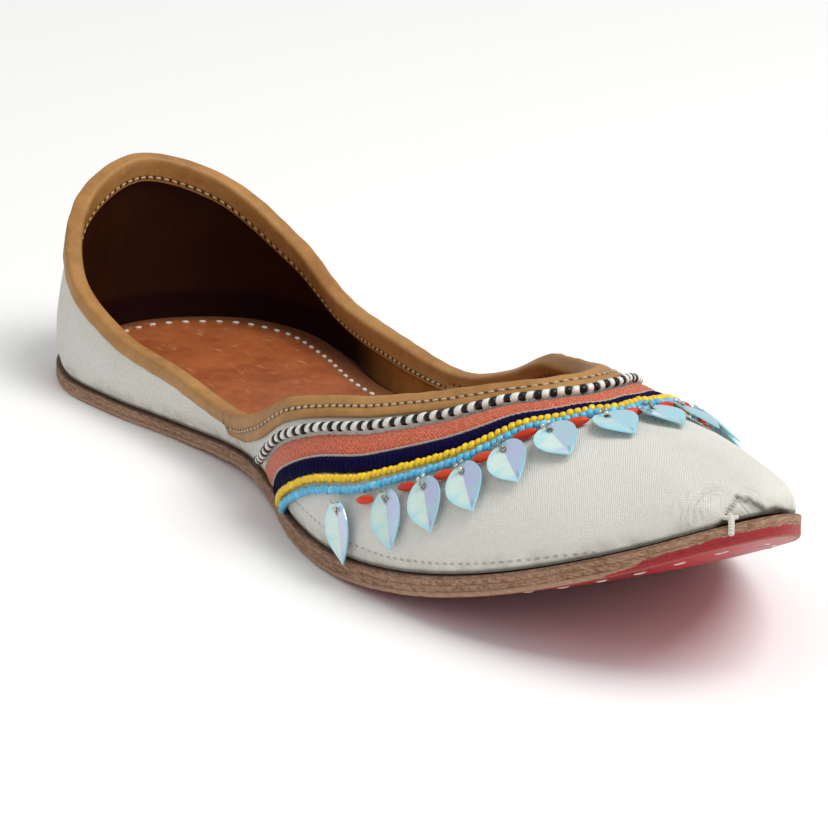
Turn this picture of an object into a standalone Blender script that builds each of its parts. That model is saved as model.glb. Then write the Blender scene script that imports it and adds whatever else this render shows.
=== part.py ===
"""Mojari shoe: a straight, flat slip-on with an upturned toe, a beaded vamp and a low bound collar.

Metres, +Z up, standing on Z = 0. The toe points to -Y and the heel to +Y. The shoe is the same on both
sides of X = 0, because this kind of shoe is made on a straight last and worn on either foot.
"""

import math

import bpy
import numpy as np

# Main sizes
LENGTH = 0.257
BALL_HALF = 0.039
COLLAR_HEIGHT = 0.0435
TOE_SPRING = 0.0290
SPRING_START = 0.1045
SPRING_POWER = 2.2
TOE_CURL = 0.0050
WAIST_LIFT = 0.0012
WAIST = (0.47, 0.74)

# Layers and clearances
GAP = 0.0003
OUTSOLE_THICK = 0.0014
MIDSOLE_THICK = 0.0026
MIDSOLE_HEEL_THICK = 0.0014
MIDSOLE_TAPER = (0.35, 0.62)
SOLE_LIP = 0.0012
OUTSOLE_INSET = 0.0003
UPPER_WALL = 0.0018
INSOLE_THICK = 0.0016
INSOLE_MARGIN = 0.0012

# Bindings
BINDING_THICK = 0.0007
THROAT_BINDING_WIDTH = 0.0056
COLLAR_BINDING_WIDTH = 0.0032
BINDING_INSIDE = 0.0060
BINDING_JOIN = 9.0
BINDING_JOIN_GAP = 0.0004

# Rows of trim on the vamp, each with its own width and height
CORD_START = 0.0073
CORD_WIDTH = 0.0021
CORD_HEIGHT = 0.0018
CORAL_WIDTH = 0.0042
CORAL_HEIGHT = 0.0006
NAVY_WIDTH = 0.0031
NAVY_HEIGHT = 0.0008
BEAD_ROW_WIDTH = 0.0017
BEAD_ROW_HEIGHT = 0.0015
TRIM_GAP = 0.0003
TRIM_STAND = 0.0004
TRIM_END = 8.4
TRIM_END_SLANT = 14.4
ROW_SOFTNESS = 0.3

# Leaf sequins and the oval beads between them
SEQUIN_SPACING = 0.0092
SEQUIN_STEPS = (0.55, 1.72, 2.7, 3.66, 4.62, 5.62, 7.15)
SEQUIN_LENGTH = 0.0124
SEQUIN_WIDTH = 0.0084
SEQUIN_SHOULDER = 0.75
SEQUIN_THICK = 0.0004
SEQUIN_STAND = 0.0007
SEQUIN_FOLD = 0.0006
SEQUIN_DROP = 0.0014
OVAL_LENGTH = 0.0052
OVAL_WIDTH = 0.0018

# How finely the surfaces are cut
RIB_STEPS = 24
SOLE_STATIONS = 34
SOLE_COLUMNS = 6
SHELL_ROWS = 11
SHELL_RIBS = 68
THROAT_SECTIONS = 42
COLLAR_SECTIONS = 29
TRIM_SECTIONS = 41
SEQUIN_STATIONS = 7
OVAL_RINGS = 5
OVAL_SIDES = 6

# How the surface is measured: steps in rib keys, steps down a rib, and the least slant of a rib to the topline
EDGE_STEP = 0.02
ALONG_STEP = 0.06
SQUARE_STEP = 0.05
PLACE_STEP = 0.1
DOWN_STEP = 0.0015
TOP_STEP = 0.004
LEAST_SQUARE = 0.3
ROW_SAMPLES = 160
ROW_REACH = 0.66

# One row for each rib of the upper, from the middle of the toe round to the middle of the heel.
# along: share of LENGTH from the toe. out: share of BALL_HALF from the middle line.
# height, bulge, rise, lean and drop: shares of COLLAR_HEIGHT. reach: share of the way from top to foot.
# drift: share by which the trim lies further from the throat than its plain distance.
# edge_along, edge_out, top_along, top_out, top_height, bulge, rise, reach, lean, drop, drift
RIBS = np.array([
    (0.000, 0.000, 0.277, 0.000, 0.920, 0.050, 0.235, 0.40, 0.000, 0.080, 0.12),
    (0.017, 0.256, 0.280, 0.128, 0.916, 0.054, 0.235, 0.40, 0.000, 0.080, -0.01),
    (0.062, 0.462, 0.293, 0.247, 0.901, 0.060, 0.240, 0.38, 0.000, 0.069, -0.11),
    (0.120, 0.675, 0.315, 0.366, 0.860, 0.064, 0.233, 0.36, 0.000, 0.050, -0.15),
    (0.199, 0.863, 0.353, 0.485, 0.790, 0.069, 0.230, 0.34, 0.000, 0.041, -0.05),
    (0.289, 0.974, 0.396, 0.592, 0.720, 0.074, 0.253, 0.32, 0.000, 0.037, -0.01),
    (0.374, 0.998, 0.442, 0.674, 0.660, 0.074, 0.253, 0.30, 0.023, 0.046, 0.00),
    (0.451, 0.915, 0.489, 0.750, 0.592, 0.069, 0.207, 0.25, 0.046, 0.080, 0.06),
    (0.533, 0.749, 0.549, 0.758, 0.424, 0.046, 0.138, 0.10, 0.034, 0.115, 0.13),
    (0.615, 0.650, 0.612, 0.712, 0.330, 0.028, 0.092, 0.00, 0.014, 0.092, 0.16),
    (0.716, 0.686, 0.713, 0.692, 0.364, 0.034, 0.092, 0.00, 0.014, 0.092, 0.00),
    (0.809, 0.794, 0.811, 0.715, 0.412, 0.046, 0.115, 0.00, 0.018, 0.115, 0.00),
    (0.893, 0.808, 0.895, 0.712, 0.600, 0.057, 0.161, 0.00, 0.028, 0.184, 0.00),
    (0.965, 0.562, 0.959, 0.462, 0.868, 0.064, 0.207, 0.00, 0.037, 0.230, 0.00),
    (1.000, 0.000, 0.989, 0.000, 1.000, 0.058, 0.230, 0.00, 0.041, 0.276, 0.00),
])
LAST_RIB = len(RIBS) - 1
MIRRORED = np.array((1.0, -1.0, 1.0, -1.0, 1.0, 1.0, 1.0, 1.0, 1.0, 1.0, 1.0))
DRIFT = 10
UP = np.array((0.0, 0.0, 1.0))


def rib_row(key):
    """The table's columns at any place between its rows, by a smooth curve that is even at both ends."""
    rows = np.vstack((RIBS[1] * MIRRORED, RIBS, RIBS[-2] * MIRRORED))
    place = min(max(abs(key), 0.0), LAST_RIB)
    first = min(int(place), LAST_RIB - 1)
    share = place - first
    before, start, end, after = rows[first : first + 4]
    return 0.5 * (
        2 * start
        + (end - before) * share
        + (2 * before - 5 * start + 4 * end - after) * share**2
        + (3 * start - before - 3 * end + after) * share**3
    )


def plan_edge(key, inset=0.0):
    """(x, y) on the sole's outline at a rib key, moved inwards by inset."""
    side = -1.0 if key < 0 else 1.0

    def at(where):
        row = rib_row(where)
        sign = -1.0 if where < 0 else 1.0
        return np.array((sign * row[1] * BALL_HALF, (row[0] - 0.5) * LENGTH))

    place = abs(key)
    if place + EDGE_STEP > LAST_RIB:
        tangent = np.array((-1.0, 0.0))
    else:
        tangent = at(place + EDGE_STEP) - at(place - EDGE_STEP)
    tangent /= np.linalg.norm(tangent)
    outward = np.array((tangent[1], -tangent[0]))
    point = at(place) - outward * inset
    return np.array((side * point[0], point[1])), np.array((side * outward[0], outward[1]))


def smooth_step(share):
    share = min(max(share, 0.0), 1.0)
    return share * share * (3 - 2 * share)


def ground(x, y):
    """Height of the sole's underside: flat at heel and ball, lifted a little at the waist, sprung at the toe."""
    along = y + LENGTH / 2
    toe_share = max(0.0, (SPRING_START - along) / SPRING_START)
    height = TOE_SPRING * toe_share**SPRING_POWER
    height += TOE_CURL * toe_share**2 * (x / BALL_HALF) ** 2
    waist = (along / LENGTH - WAIST[0]) / (WAIST[1] - WAIST[0])
    if 0 < waist < 1:
        height += WAIST_LIFT * math.sin(math.pi * waist) ** 2
    return height


def midsole_low(y):
    return OUTSOLE_THICK + GAP


def midsole_high(y):
    """Height of the midsole's top over the underside: it is pared down from the ball to the heel."""
    start, end = MIDSOLE_TAPER
    share = smooth_step(((y + LENGTH / 2) / LENGTH - start) / (end - start))
    return midsole_low(y) + MIDSOLE_THICK + (MIDSOLE_HEEL_THICK - MIDSOLE_THICK) * share


def rib_curve(key):
    """Points down one rib of the upper's outer face, from the topline to the sole, and the way along it."""
    row = rib_row(key)
    side = -1.0 if key < 0 else 1.0
    edge, outward = plan_edge(key, SOLE_LIP)
    foot = np.array((edge[0], edge[1], ground(*edge) + midsole_high(edge[1]) + GAP))
    top = np.array((side * row[3] * BALL_HALF, (row[2] - 0.5) * LENGTH, row[4] * COLLAR_HEIGHT))
    out = np.array((outward[0], outward[1], 0.0))
    low = foot + out * row[5] * COLLAR_HEIGHT + UP * row[6] * COLLAR_HEIGHT
    high = top + (foot - top) * (1, 1, 0) * row[7]
    high = high + out * row[8] * COLLAR_HEIGHT - UP * row[9] * COLLAR_HEIGHT
    share = np.linspace(0, 1, RIB_STEPS + 1)[:, None]
    curve = (
        top * (1 - share) ** 3
        + 3 * high * share * (1 - share) ** 2
        + 3 * low * share**2 * (1 - share)
        + foot * share**3
    )
    steps = np.linalg.norm(np.diff(curve, axis=0), axis=1)
    return curve, np.concatenate(((0.0,), np.cumsum(steps)))


RIB_CACHE = {}


def rib(key):
    key = round(float(key), 5)
    if key not in RIB_CACHE:
        RIB_CACHE[key] = rib_curve(key)
    return RIB_CACHE[key]


def rib_length(key):
    return rib(key)[1][-1]


def on_rib(key, reach):
    curve, way = rib(key)
    return np.array([np.interp(reach, way, curve[:, axis]) for axis in range(3)])


def outer_normal(key, reach):
    """The outer face's outward direction at a rib key and a distance down from the topline."""
    reach = min(max(reach, 0.0), rib_length(key))
    share = reach / rib_length(key)

    def at(where):
        wrapped = where - math.copysign(2 * LAST_RIB, where) if abs(where) > LAST_RIB else where
        return on_rib(wrapped, share * rib_length(wrapped))

    along = at(key + ALONG_STEP) - at(key - ALONG_STEP)
    down = on_rib(key, reach + DOWN_STEP) - on_rib(key, max(reach - DOWN_STEP, 0.0))
    normal = np.cross(down, along)
    return normal / np.linalg.norm(normal)


def on_upper(key, reach, stand=0.0):
    """A point standing off the upper's outer face; a negative stand goes into the wall."""
    return on_rib(key, reach) + outer_normal(key, reach) * stand


def squared_reach(key, distance):
    """The way down a rib that lies this far from the topline, square to the topline's own direction."""
    key = min(max(key, SQUARE_STEP - LAST_RIB), LAST_RIB - SQUARE_STEP)
    along = on_rib(key + SQUARE_STEP, 0.0) - on_rib(key - SQUARE_STEP, 0.0)
    down = on_rib(key, TOP_STEP) - on_rib(key, 0.0)
    cosine = along @ down / (np.linalg.norm(along) * np.linalg.norm(down))
    return distance / math.sqrt(max(1 - cosine**2, LEAST_SQUARE))


def trim_reach(key, distance):
    """The way down a rib to the trim, which drifts to and fro from the throat's own line."""
    return squared_reach(key, distance * (1 + rib_row(key)[DRIFT]))


def new_object(name, points, faces, material):
    mesh = bpy.data.meshes.new(name)
    mesh.from_pydata([tuple(map(float, point)) for point in points], [], faces)
    mesh.validate()
    mesh.materials.append(material)
    mesh.shade_smooth()
    mesh.set_sharp_from_angle(angle=math.radians(40))
    obj = bpy.data.objects.new(name, mesh)
    bpy.context.collection.objects.link(obj)
    return obj


def finish(name, colour, roughness, metallic=0.0):
    material = bpy.data.materials.new(name)
    material.use_nodes = True
    shader = material.node_tree.nodes["Principled BSDF"]
    shader.inputs["Base Color"].default_value = (*colour, 1.0)
    shader.inputs["Roughness"].default_value = roughness
    shader.inputs["Metallic"].default_value = metallic
    return material


def tube_faces(sections, across, closed):
    """Quads between neighbouring sections of a ring profile, with end caps where the run is open."""
    faces = []
    for i in range(sections if closed else sections - 1):
        here, there = i * across, (i + 1) % sections * across
        for j in range(across):
            k = (j + 1) % across
            faces.append((here + j, here + k, there + k, there + j))
    if not closed:
        faces.append(tuple(range(across - 1, -1, -1)))
        faces.append(tuple((sections - 1) * across + j for j in range(across)))
    return faces


def facing_out(obj):
    """Turns the faces round where the closed mesh came out with a negative volume."""
    mesh = obj.data
    mesh.calc_loop_triangles()
    corners = np.array([mesh.vertices[i].co for tri in mesh.loop_triangles for i in tri.vertices])
    corners = corners.reshape(-1, 3, 3)
    if np.linalg.det(corners).sum() < 0:
        mesh.flip_normals()
    return obj


def sole_layer(name, inset, low, high, material):
    """A sheet of the sole's outline between two heights over the underside."""
    keys = np.linspace(0, LAST_RIB, SOLE_STATIONS + 1)
    edges = np.array([plan_edge(key, inset)[0] for key in keys])
    ends = edges[[0, -1], 1]
    inner = edges[1:-1]
    points, faces = [], []
    for height in (low, high):
        points.append((0.0, ends[0], ground(0.0, ends[0]) + height(ends[0])))
        for x_edge, y in inner:
            for column in np.linspace(-1, 1, SOLE_COLUMNS + 1):
                x = x_edge * column
                points.append((x, y, ground(x, y) + height(y)))
        points.append((0.0, ends[1], ground(0.0, ends[1]) + height(ends[1])))
    wide = SOLE_COLUMNS + 1
    rows = len(inner)
    size = rows * wide + 2

    def at(level, row, column):
        return level * size + 1 + row * wide + column

    for level in (0, 1):
        start, end = level * size, level * size + size - 1
        for column in range(SOLE_COLUMNS):
            fan = [start, at(level, 0, column + 1), at(level, 0, column)]
            last = [end, at(level, rows - 1, column), at(level, rows - 1, column + 1)]
            faces += [fan, last] if level == 1 else [fan[::-1], last[::-1]]
            for row in range(rows - 1):
                quad = [at(level, row, column), at(level, row, column + 1)]
                quad += [at(level, row + 1, column + 1), at(level, row + 1, column)]
                faces.append(quad if level == 1 else quad[::-1])
    rim = [0] + [at(0, row, wide - 1) for row in range(rows)] + [size - 1]
    rim += [at(0, row, 0) for row in range(rows - 1, -1, -1)]
    for i, corner in enumerate(rim):
        following = rim[(i + 1) % len(rim)]
        faces.append([corner, following, following + size, corner + size])
    return facing_out(new_object(name, points, faces, material))


def build_upper(material):
    """The hollow shell: outer face, inner face, the rim under the bindings and the rim on the sole."""
    keys = np.linspace(-LAST_RIB, LAST_RIB, SHELL_RIBS + 1)[:-1]
    top_reach = BINDING_THICK + GAP
    profile = [(row / SHELL_ROWS, 0.0) for row in range(SHELL_ROWS + 1)]
    profile += [(row / SHELL_ROWS, -UPPER_WALL) for row in range(SHELL_ROWS, -1, -1)]
    points = []
    for key in keys:
        length = rib_length(key)
        for share, stand in profile:
            reach = top_reach + (length - top_reach) * share
            point = on_upper(key, reach, stand)
            if share == 1.0:
                point[2] = on_rib(key, length)[2]
            points.append(point)
    faces = tube_faces(len(keys), len(profile), closed=True)
    return facing_out(new_object("upper", points, faces, material))


def build_binding(name, keys, width, material):
    """A strip folded over the edge of the upper: outer leg, top and inner leg."""
    outside = GAP + BINDING_THICK
    inside = -UPPER_WALL - GAP
    facing = inside - BINDING_THICK
    profile = (
        (outside, width), (outside, width / 2), (outside, 0.0), (facing, 0.0),
        (facing, BINDING_INSIDE / 2), (facing, BINDING_INSIDE), (inside, BINDING_INSIDE),
        (inside, BINDING_INSIDE / 2), (inside, BINDING_THICK), (GAP, BINDING_THICK),
        (GAP, width / 2), (GAP, width),
    )
    points = [
        on_upper(key, squared_reach(key, reach) if reach > BINDING_THICK else reach, stand)
        for key in keys
        for stand, reach in profile
    ]
    return facing_out(new_object(name, points, tube_faces(len(keys), len(profile), closed=False), material))


def trim_end(start):
    """The rib key where a row of trim stops: further forward the lower the row lies."""
    return TRIM_END - TRIM_END_SLANT * start / LENGTH


def build_row(name, start, width, height, material):
    """A raised row that follows the throat at a set distance, with softened upper corners."""
    corner = min(height, width) * ROW_SOFTNESS
    face = TRIM_STAND + height
    profile = (
        (TRIM_STAND, start), (face - corner, start), (face, start + corner),
        (face, start + width - corner), (face - corner, start + width), (TRIM_STAND, start + width),
    )
    if width > CORD_WIDTH:
        profile += ((TRIM_STAND, start + width / 2),)
    end = trim_end(start)
    keys = np.linspace(-end, end, TRIM_SECTIONS)
    points = [
        on_upper(key, trim_reach(key, reach), stand) for key in keys for stand, reach in profile
    ]
    return facing_out(new_object(name, points, tube_faces(len(keys), len(profile), closed=False), material))


def keys_along(distance, steps):
    """Rib keys of places set out by true length along a row, both ways from the middle of the vamp."""
    fine = np.linspace(0, LAST_RIB * ROW_REACH, ROW_SAMPLES)
    line = np.array([on_rib(key, trim_reach(key, distance)) for key in fine])
    way = np.concatenate(((0.0,), np.cumsum(np.linalg.norm(np.diff(line, axis=0), axis=1))))
    found = [float(np.interp(step * SEQUIN_SPACING, way, fine)) for step in steps]
    return sorted({round(side * key, 6) for key in found for side in (-1, 1)})


def local_place(key, distance, across, along, stand):
    """A point beside a place on the vamp, by true lengths across and away from the throat."""
    ahead, behind = key + PLACE_STEP, key - PLACE_STEP
    run = on_rib(ahead, trim_reach(ahead, distance)) - on_rib(behind, trim_reach(behind, distance))
    beside = key + across * 2 * PLACE_STEP / np.linalg.norm(run)
    return on_upper(beside, trim_reach(beside, distance) + along, stand)


def build_sequin(name, key, distance, material):
    """A folded leaf: pointed at both ends, lying on the vamp with its middle crease down."""
    stations = SEQUIN_STATIONS
    points = []
    for level in (0.0, SEQUIN_THICK):
        points.append(local_place(key, distance, 0.0, 0.0, SEQUIN_STAND + level))
        for station in range(1, stations):
            share = station / stations
            half = SEQUIN_WIDTH / 2 * math.sin(math.pi * share**SEQUIN_SHOULDER)
            for side in (-1, 0, 1):
                stand = SEQUIN_STAND + level + SEQUIN_FOLD * abs(side)
                points.append(local_place(key, distance, side * half, share * SEQUIN_LENGTH, stand))
        points.append(local_place(key, distance, 0.0, SEQUIN_LENGTH, SEQUIN_STAND + level))
    size = 2 + 3 * (stations - 1)
    faces = []
    for level in (0, 1):
        base = level * size
        ring = []
        for column in (0, 1):
            start = base + 1 + column
            last = base + 1 + 3 * (stations - 2) + column
            ring += [(base, start, start + 1), (base + size - 1, last + 1, last)]
            for station in range(stations - 2):
                low = start + 3 * station
                ring.append((low, low + 3, low + 4, low + 1))
        faces += ring if level == 0 else [face[::-1] for face in ring]
    rim = [0] + [1 + 3 * i for i in range(stations - 1)] + [size - 1]
    rim += [3 + 3 * i for i in range(stations - 2, -1, -1)]
    for i, corner in enumerate(rim):
        following = rim[(i + 1) % len(rim)]
        faces.append((following, corner, corner + size, following + size))
    return facing_out(new_object(name, points, faces, material))


def build_oval(name, key, distance, material):
    """A long bead lying along the lowest row."""
    rings, sides = OVAL_RINGS, OVAL_SIDES
    rise = OVAL_WIDTH / 2
    points = [local_place(key, distance, -OVAL_LENGTH / 2, 0.0, GAP + rise)]
    for ring in range(1, rings):
        angle = math.pi * ring / rings
        for side in range(sides):
            turn = 2 * math.pi * side / sides
            radius = OVAL_WIDTH / 2 * math.sin(angle)
            points.append(
                local_place(
                    key, distance, -OVAL_LENGTH / 2 * math.cos(angle),
                    radius * math.cos(turn), GAP + rise + radius * math.sin(turn),
                )
            )
    points.append(local_place(key, distance, OVAL_LENGTH / 2, 0.0, GAP + rise))
    last = len(points) - 1
    faces = []
    for side in range(sides):
        beside = (side + 1) % sides
        faces.append((0, 1 + beside, 1 + side))
        faces.append((last, last - sides + side, last - sides + beside))
        for ring in range(rings - 2):
            low = 1 + ring * sides
            faces.append((low + side, low + beside, low + sides + beside, low + sides + side))
    return facing_out(new_object(name, points, faces, material))


def build_trim():
    """The rows under the throat from the corded edge outwards, then the sequins and the beads between."""
    start = CORD_START
    rows = (
        ("bead_cord", CORD_WIDTH, CORD_HEIGHT, (0.55, 0.53, 0.50)),
        ("coral_band", CORAL_WIDTH, CORAL_HEIGHT, (0.75, 0.16, 0.10)),
        ("navy_band", NAVY_WIDTH, NAVY_HEIGHT, (0.01, 0.005, 0.05)),
        ("yellow_beads", BEAD_ROW_WIDTH, BEAD_ROW_HEIGHT, (0.80, 0.60, 0.01)),
        ("blue_beads", BEAD_ROW_WIDTH, BEAD_ROW_HEIGHT, (0.15, 0.53, 0.75)),
    )
    for name, width, height, colour in rows:
        build_row(name, start, width, height, finish(name, colour, 0.5))
        start += width + TRIM_GAP
    orange = finish("orange_beads", (0.68, 0.05, 0.01), 0.35)
    oval_line = start + OVAL_WIDTH / 2
    sequin_line = start + SEQUIN_DROP - OVAL_WIDTH / 2
    mint = finish("sequins", (0.30, 0.65, 0.75), 0.2)
    sequin_keys = keys_along(sequin_line, SEQUIN_STEPS)
    for number, key in enumerate(sequin_keys):
        build_sequin(f"sequin_{number + 1:02d}", key, sequin_line, mint)
    between = [0.0] + [(near + far) / 2 for near, far in zip(SEQUIN_STEPS, SEQUIN_STEPS[1:])]
    oval_keys = keys_along(oval_line, between)
    for number, key in enumerate(oval_keys):
        build_oval(f"oval_bead_{number + 1:02d}", key, oval_line, orange)


def build_shoe():
    tan = finish("binding", (0.45, 0.24, 0.09), 0.5)
    leather = finish("outsole", (0.36, 0.20, 0.12), 0.6)
    sole_layer("outsole", OUTSOLE_INSET, lambda y: 0.0, lambda y: OUTSOLE_THICK, leather)
    sole_layer("midsole", 0.0, midsole_low, midsole_high, finish("midsole", (0.22, 0.11, 0.06), 0.8))
    sole_layer(
        "insole", SOLE_LIP + UPPER_WALL + INSOLE_MARGIN,
        lambda y: midsole_high(y) + GAP, lambda y: midsole_high(y) + GAP + INSOLE_THICK,
        finish("insole", (0.30, 0.10, 0.03), 0.6),
    )
    build_upper(finish("upper", (0.78, 0.76, 0.68), 0.8))
    vamp_keys = np.linspace(-BINDING_JOIN, BINDING_JOIN, THROAT_SECTIONS)
    build_binding("throat_binding", vamp_keys, THROAT_BINDING_WIDTH, tan)
    length = np.linalg.norm(on_rib(BINDING_JOIN + 1, 0.0) - on_rib(BINDING_JOIN, 0.0))
    collar_start = BINDING_JOIN + BINDING_JOIN_GAP / length
    collar_keys = np.linspace(collar_start, 2 * LAST_RIB - collar_start, COLLAR_SECTIONS)
    collar_keys = [key if key <= LAST_RIB else key - 2 * LAST_RIB for key in collar_keys]
    build_binding("collar_binding", collar_keys, COLLAR_BINDING_WIDTH, tan)
    build_trim()


def main():
    for obj in list(bpy.data.objects):
        bpy.data.objects.remove(obj, do_unlink=True)
    build_shoe()


main()
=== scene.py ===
"""Mojari shoe, dressed: the lasted fabric upper, its leather bindings, the bead rows and braids of
the vamp, the hanging leaf sequins, the stacked leather sole and the studio that it stands in."""

import logging
import math
from collections.abc import Callable, Sequence
from dataclasses import dataclass, field
from enum import Enum

import bpy
import numpy as np
from mathutils import Matrix, Vector


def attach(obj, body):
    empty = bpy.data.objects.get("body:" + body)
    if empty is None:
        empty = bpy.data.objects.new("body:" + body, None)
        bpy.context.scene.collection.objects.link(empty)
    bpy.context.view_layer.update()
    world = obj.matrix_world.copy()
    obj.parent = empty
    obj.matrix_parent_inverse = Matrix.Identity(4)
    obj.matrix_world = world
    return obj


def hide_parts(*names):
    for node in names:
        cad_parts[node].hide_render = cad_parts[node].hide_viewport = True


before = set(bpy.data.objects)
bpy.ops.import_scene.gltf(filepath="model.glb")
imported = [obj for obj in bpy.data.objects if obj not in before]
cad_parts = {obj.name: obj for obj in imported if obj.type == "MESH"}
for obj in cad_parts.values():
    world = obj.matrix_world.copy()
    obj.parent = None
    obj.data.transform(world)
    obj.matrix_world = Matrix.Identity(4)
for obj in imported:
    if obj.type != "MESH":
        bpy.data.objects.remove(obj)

log = logging.getLogger("mojari_shoe")

Array = np.ndarray
Colour = tuple[float, float, float]
Piece = bpy.types.Object
Finish = bpy.types.Material
ROOT = "root"
FLAT_MAP = "UVMap"

# One row for each rib of the upper, from the middle of the toe round to the middle of the heel.
# The first two columns place the sole's edge and the next three the topline, as shares of the last.
# The others shape the curve between them, and the last one moves the trim to and fro.
EDGE_ALONG, EDGE_OUT, TOP_ALONG, TOP_OUT, TOP_HEIGHT, BULGE, RISE, REACH, LEAN, DROP, DRIFT = range(11)
RIBS = np.array([
    (0.000, 0.000, 0.277, 0.000, 0.920, 0.050, 0.235, 0.40, 0.000, 0.080, 0.12),
    (0.017, 0.256, 0.280, 0.128, 0.916, 0.054, 0.235, 0.40, 0.000, 0.080, -0.01),
    (0.062, 0.462, 0.293, 0.247, 0.901, 0.060, 0.240, 0.38, 0.000, 0.069, -0.11),
    (0.120, 0.675, 0.315, 0.366, 0.860, 0.064, 0.233, 0.36, 0.000, 0.050, -0.15),
    (0.199, 0.863, 0.353, 0.485, 0.790, 0.069, 0.230, 0.34, 0.000, 0.041, -0.05),
    (0.289, 0.974, 0.396, 0.592, 0.720, 0.074, 0.253, 0.32, 0.000, 0.037, -0.01),
    (0.374, 0.998, 0.442, 0.674, 0.660, 0.074, 0.253, 0.30, 0.023, 0.046, 0.00),
    (0.451, 0.915, 0.489, 0.750, 0.592, 0.069, 0.207, 0.25, 0.046, 0.080, 0.06),
    (0.533, 0.749, 0.549, 0.758, 0.424, 0.046, 0.138, 0.10, 0.034, 0.115, 0.13),
    (0.615, 0.650, 0.612, 0.712, 0.330, 0.028, 0.092, 0.00, 0.014, 0.092, 0.16),
    (0.716, 0.686, 0.713, 0.692, 0.364, 0.034, 0.092, 0.00, 0.014, 0.092, 0.00),
    (0.809, 0.794, 0.811, 0.715, 0.412, 0.046, 0.115, 0.00, 0.018, 0.115, 0.00),
    (0.893, 0.808, 0.895, 0.712, 0.600, 0.057, 0.161, 0.00, 0.028, 0.184, 0.00),
    (0.965, 0.562, 0.959, 0.462, 0.868, 0.064, 0.207, 0.00, 0.037, 0.230, 0.00),
    (1.000, 0.000, 0.989, 0.000, 1.000, 0.058, 0.230, 0.00, 0.041, 0.276, 0.00),
])
MIRRORED = np.array((1.0, -1.0, 1.0, -1.0, 1.0, 1.0, 1.0, 1.0, 1.0, 1.0, 1.0))
LAST_RIB = len(RIBS) - 1
# How many samples measure a line finely, and how near two points lie to count as one
FINE = 1600
TOUCH = 1e-6
UP = np.array((0.0, 0.0, 1.0))


def smooth(values: Array | float, low: float, high: float) -> Array:
    """Eases from 0 at low to 1 at high.

    Args:
        values: what is measured.
        low: where the ease starts.
        high: where it ends; it may lie below low.

    Returns:
        The eased shares.
    """
    share = np.clip((np.asarray(values, float) - low) / (high - low), 0.0, 1.0)
    return share * share * (3 - 2 * share)


def near(values: Array, middle: float, width: float) -> Array:
    """A soft bump of height 1 around a middle, with this width to either side."""
    return np.exp(-(((values - middle) / width) ** 2))


def unit(vectors: Array) -> Array:
    """The vectors, each at length 1."""
    return vectors / np.linalg.norm(vectors, axis=-1, keepdims=True)


def walked(line: Array) -> Array:
    """The way travelled along a line of points, from its start."""
    return np.concatenate(((0.0,), np.cumsum(np.linalg.norm(np.diff(line, axis=0), axis=1))))


def smooth_curve(around: Sequence[Array], share: Array) -> Array:
    """Points on a smooth curve through rows of numbers.

    Args:
        around: the rows before, at the start of, at the end of and after each point's span.
        share: how far along its span each point lies.

    Returns:
        One row for each point.
    """
    before, start, end, after = around
    bend = 2 * before - 5 * start + 4 * end - after
    turn = 3 * start - before - 3 * end + after
    return 0.5 * (2 * start + (end - before) * share + bend * share**2 + turn * share**3)


def round_the_heel(keys: Array) -> Array:
    """Rib keys that run on past the middle of the heel, brought back onto the other side."""
    return np.where(keys > LAST_RIB, keys - 2 * LAST_RIB, keys)


class Facing(Enum):
    """The side of the upper that a row of stitching shows on."""

    OUTSIDE = 1.0
    INSIDE = -1.0


class BeadKind(Enum):
    """The two glasses of the corded row, in the order in which they are strung."""

    BLACK = 0
    WHITE = 1


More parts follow.
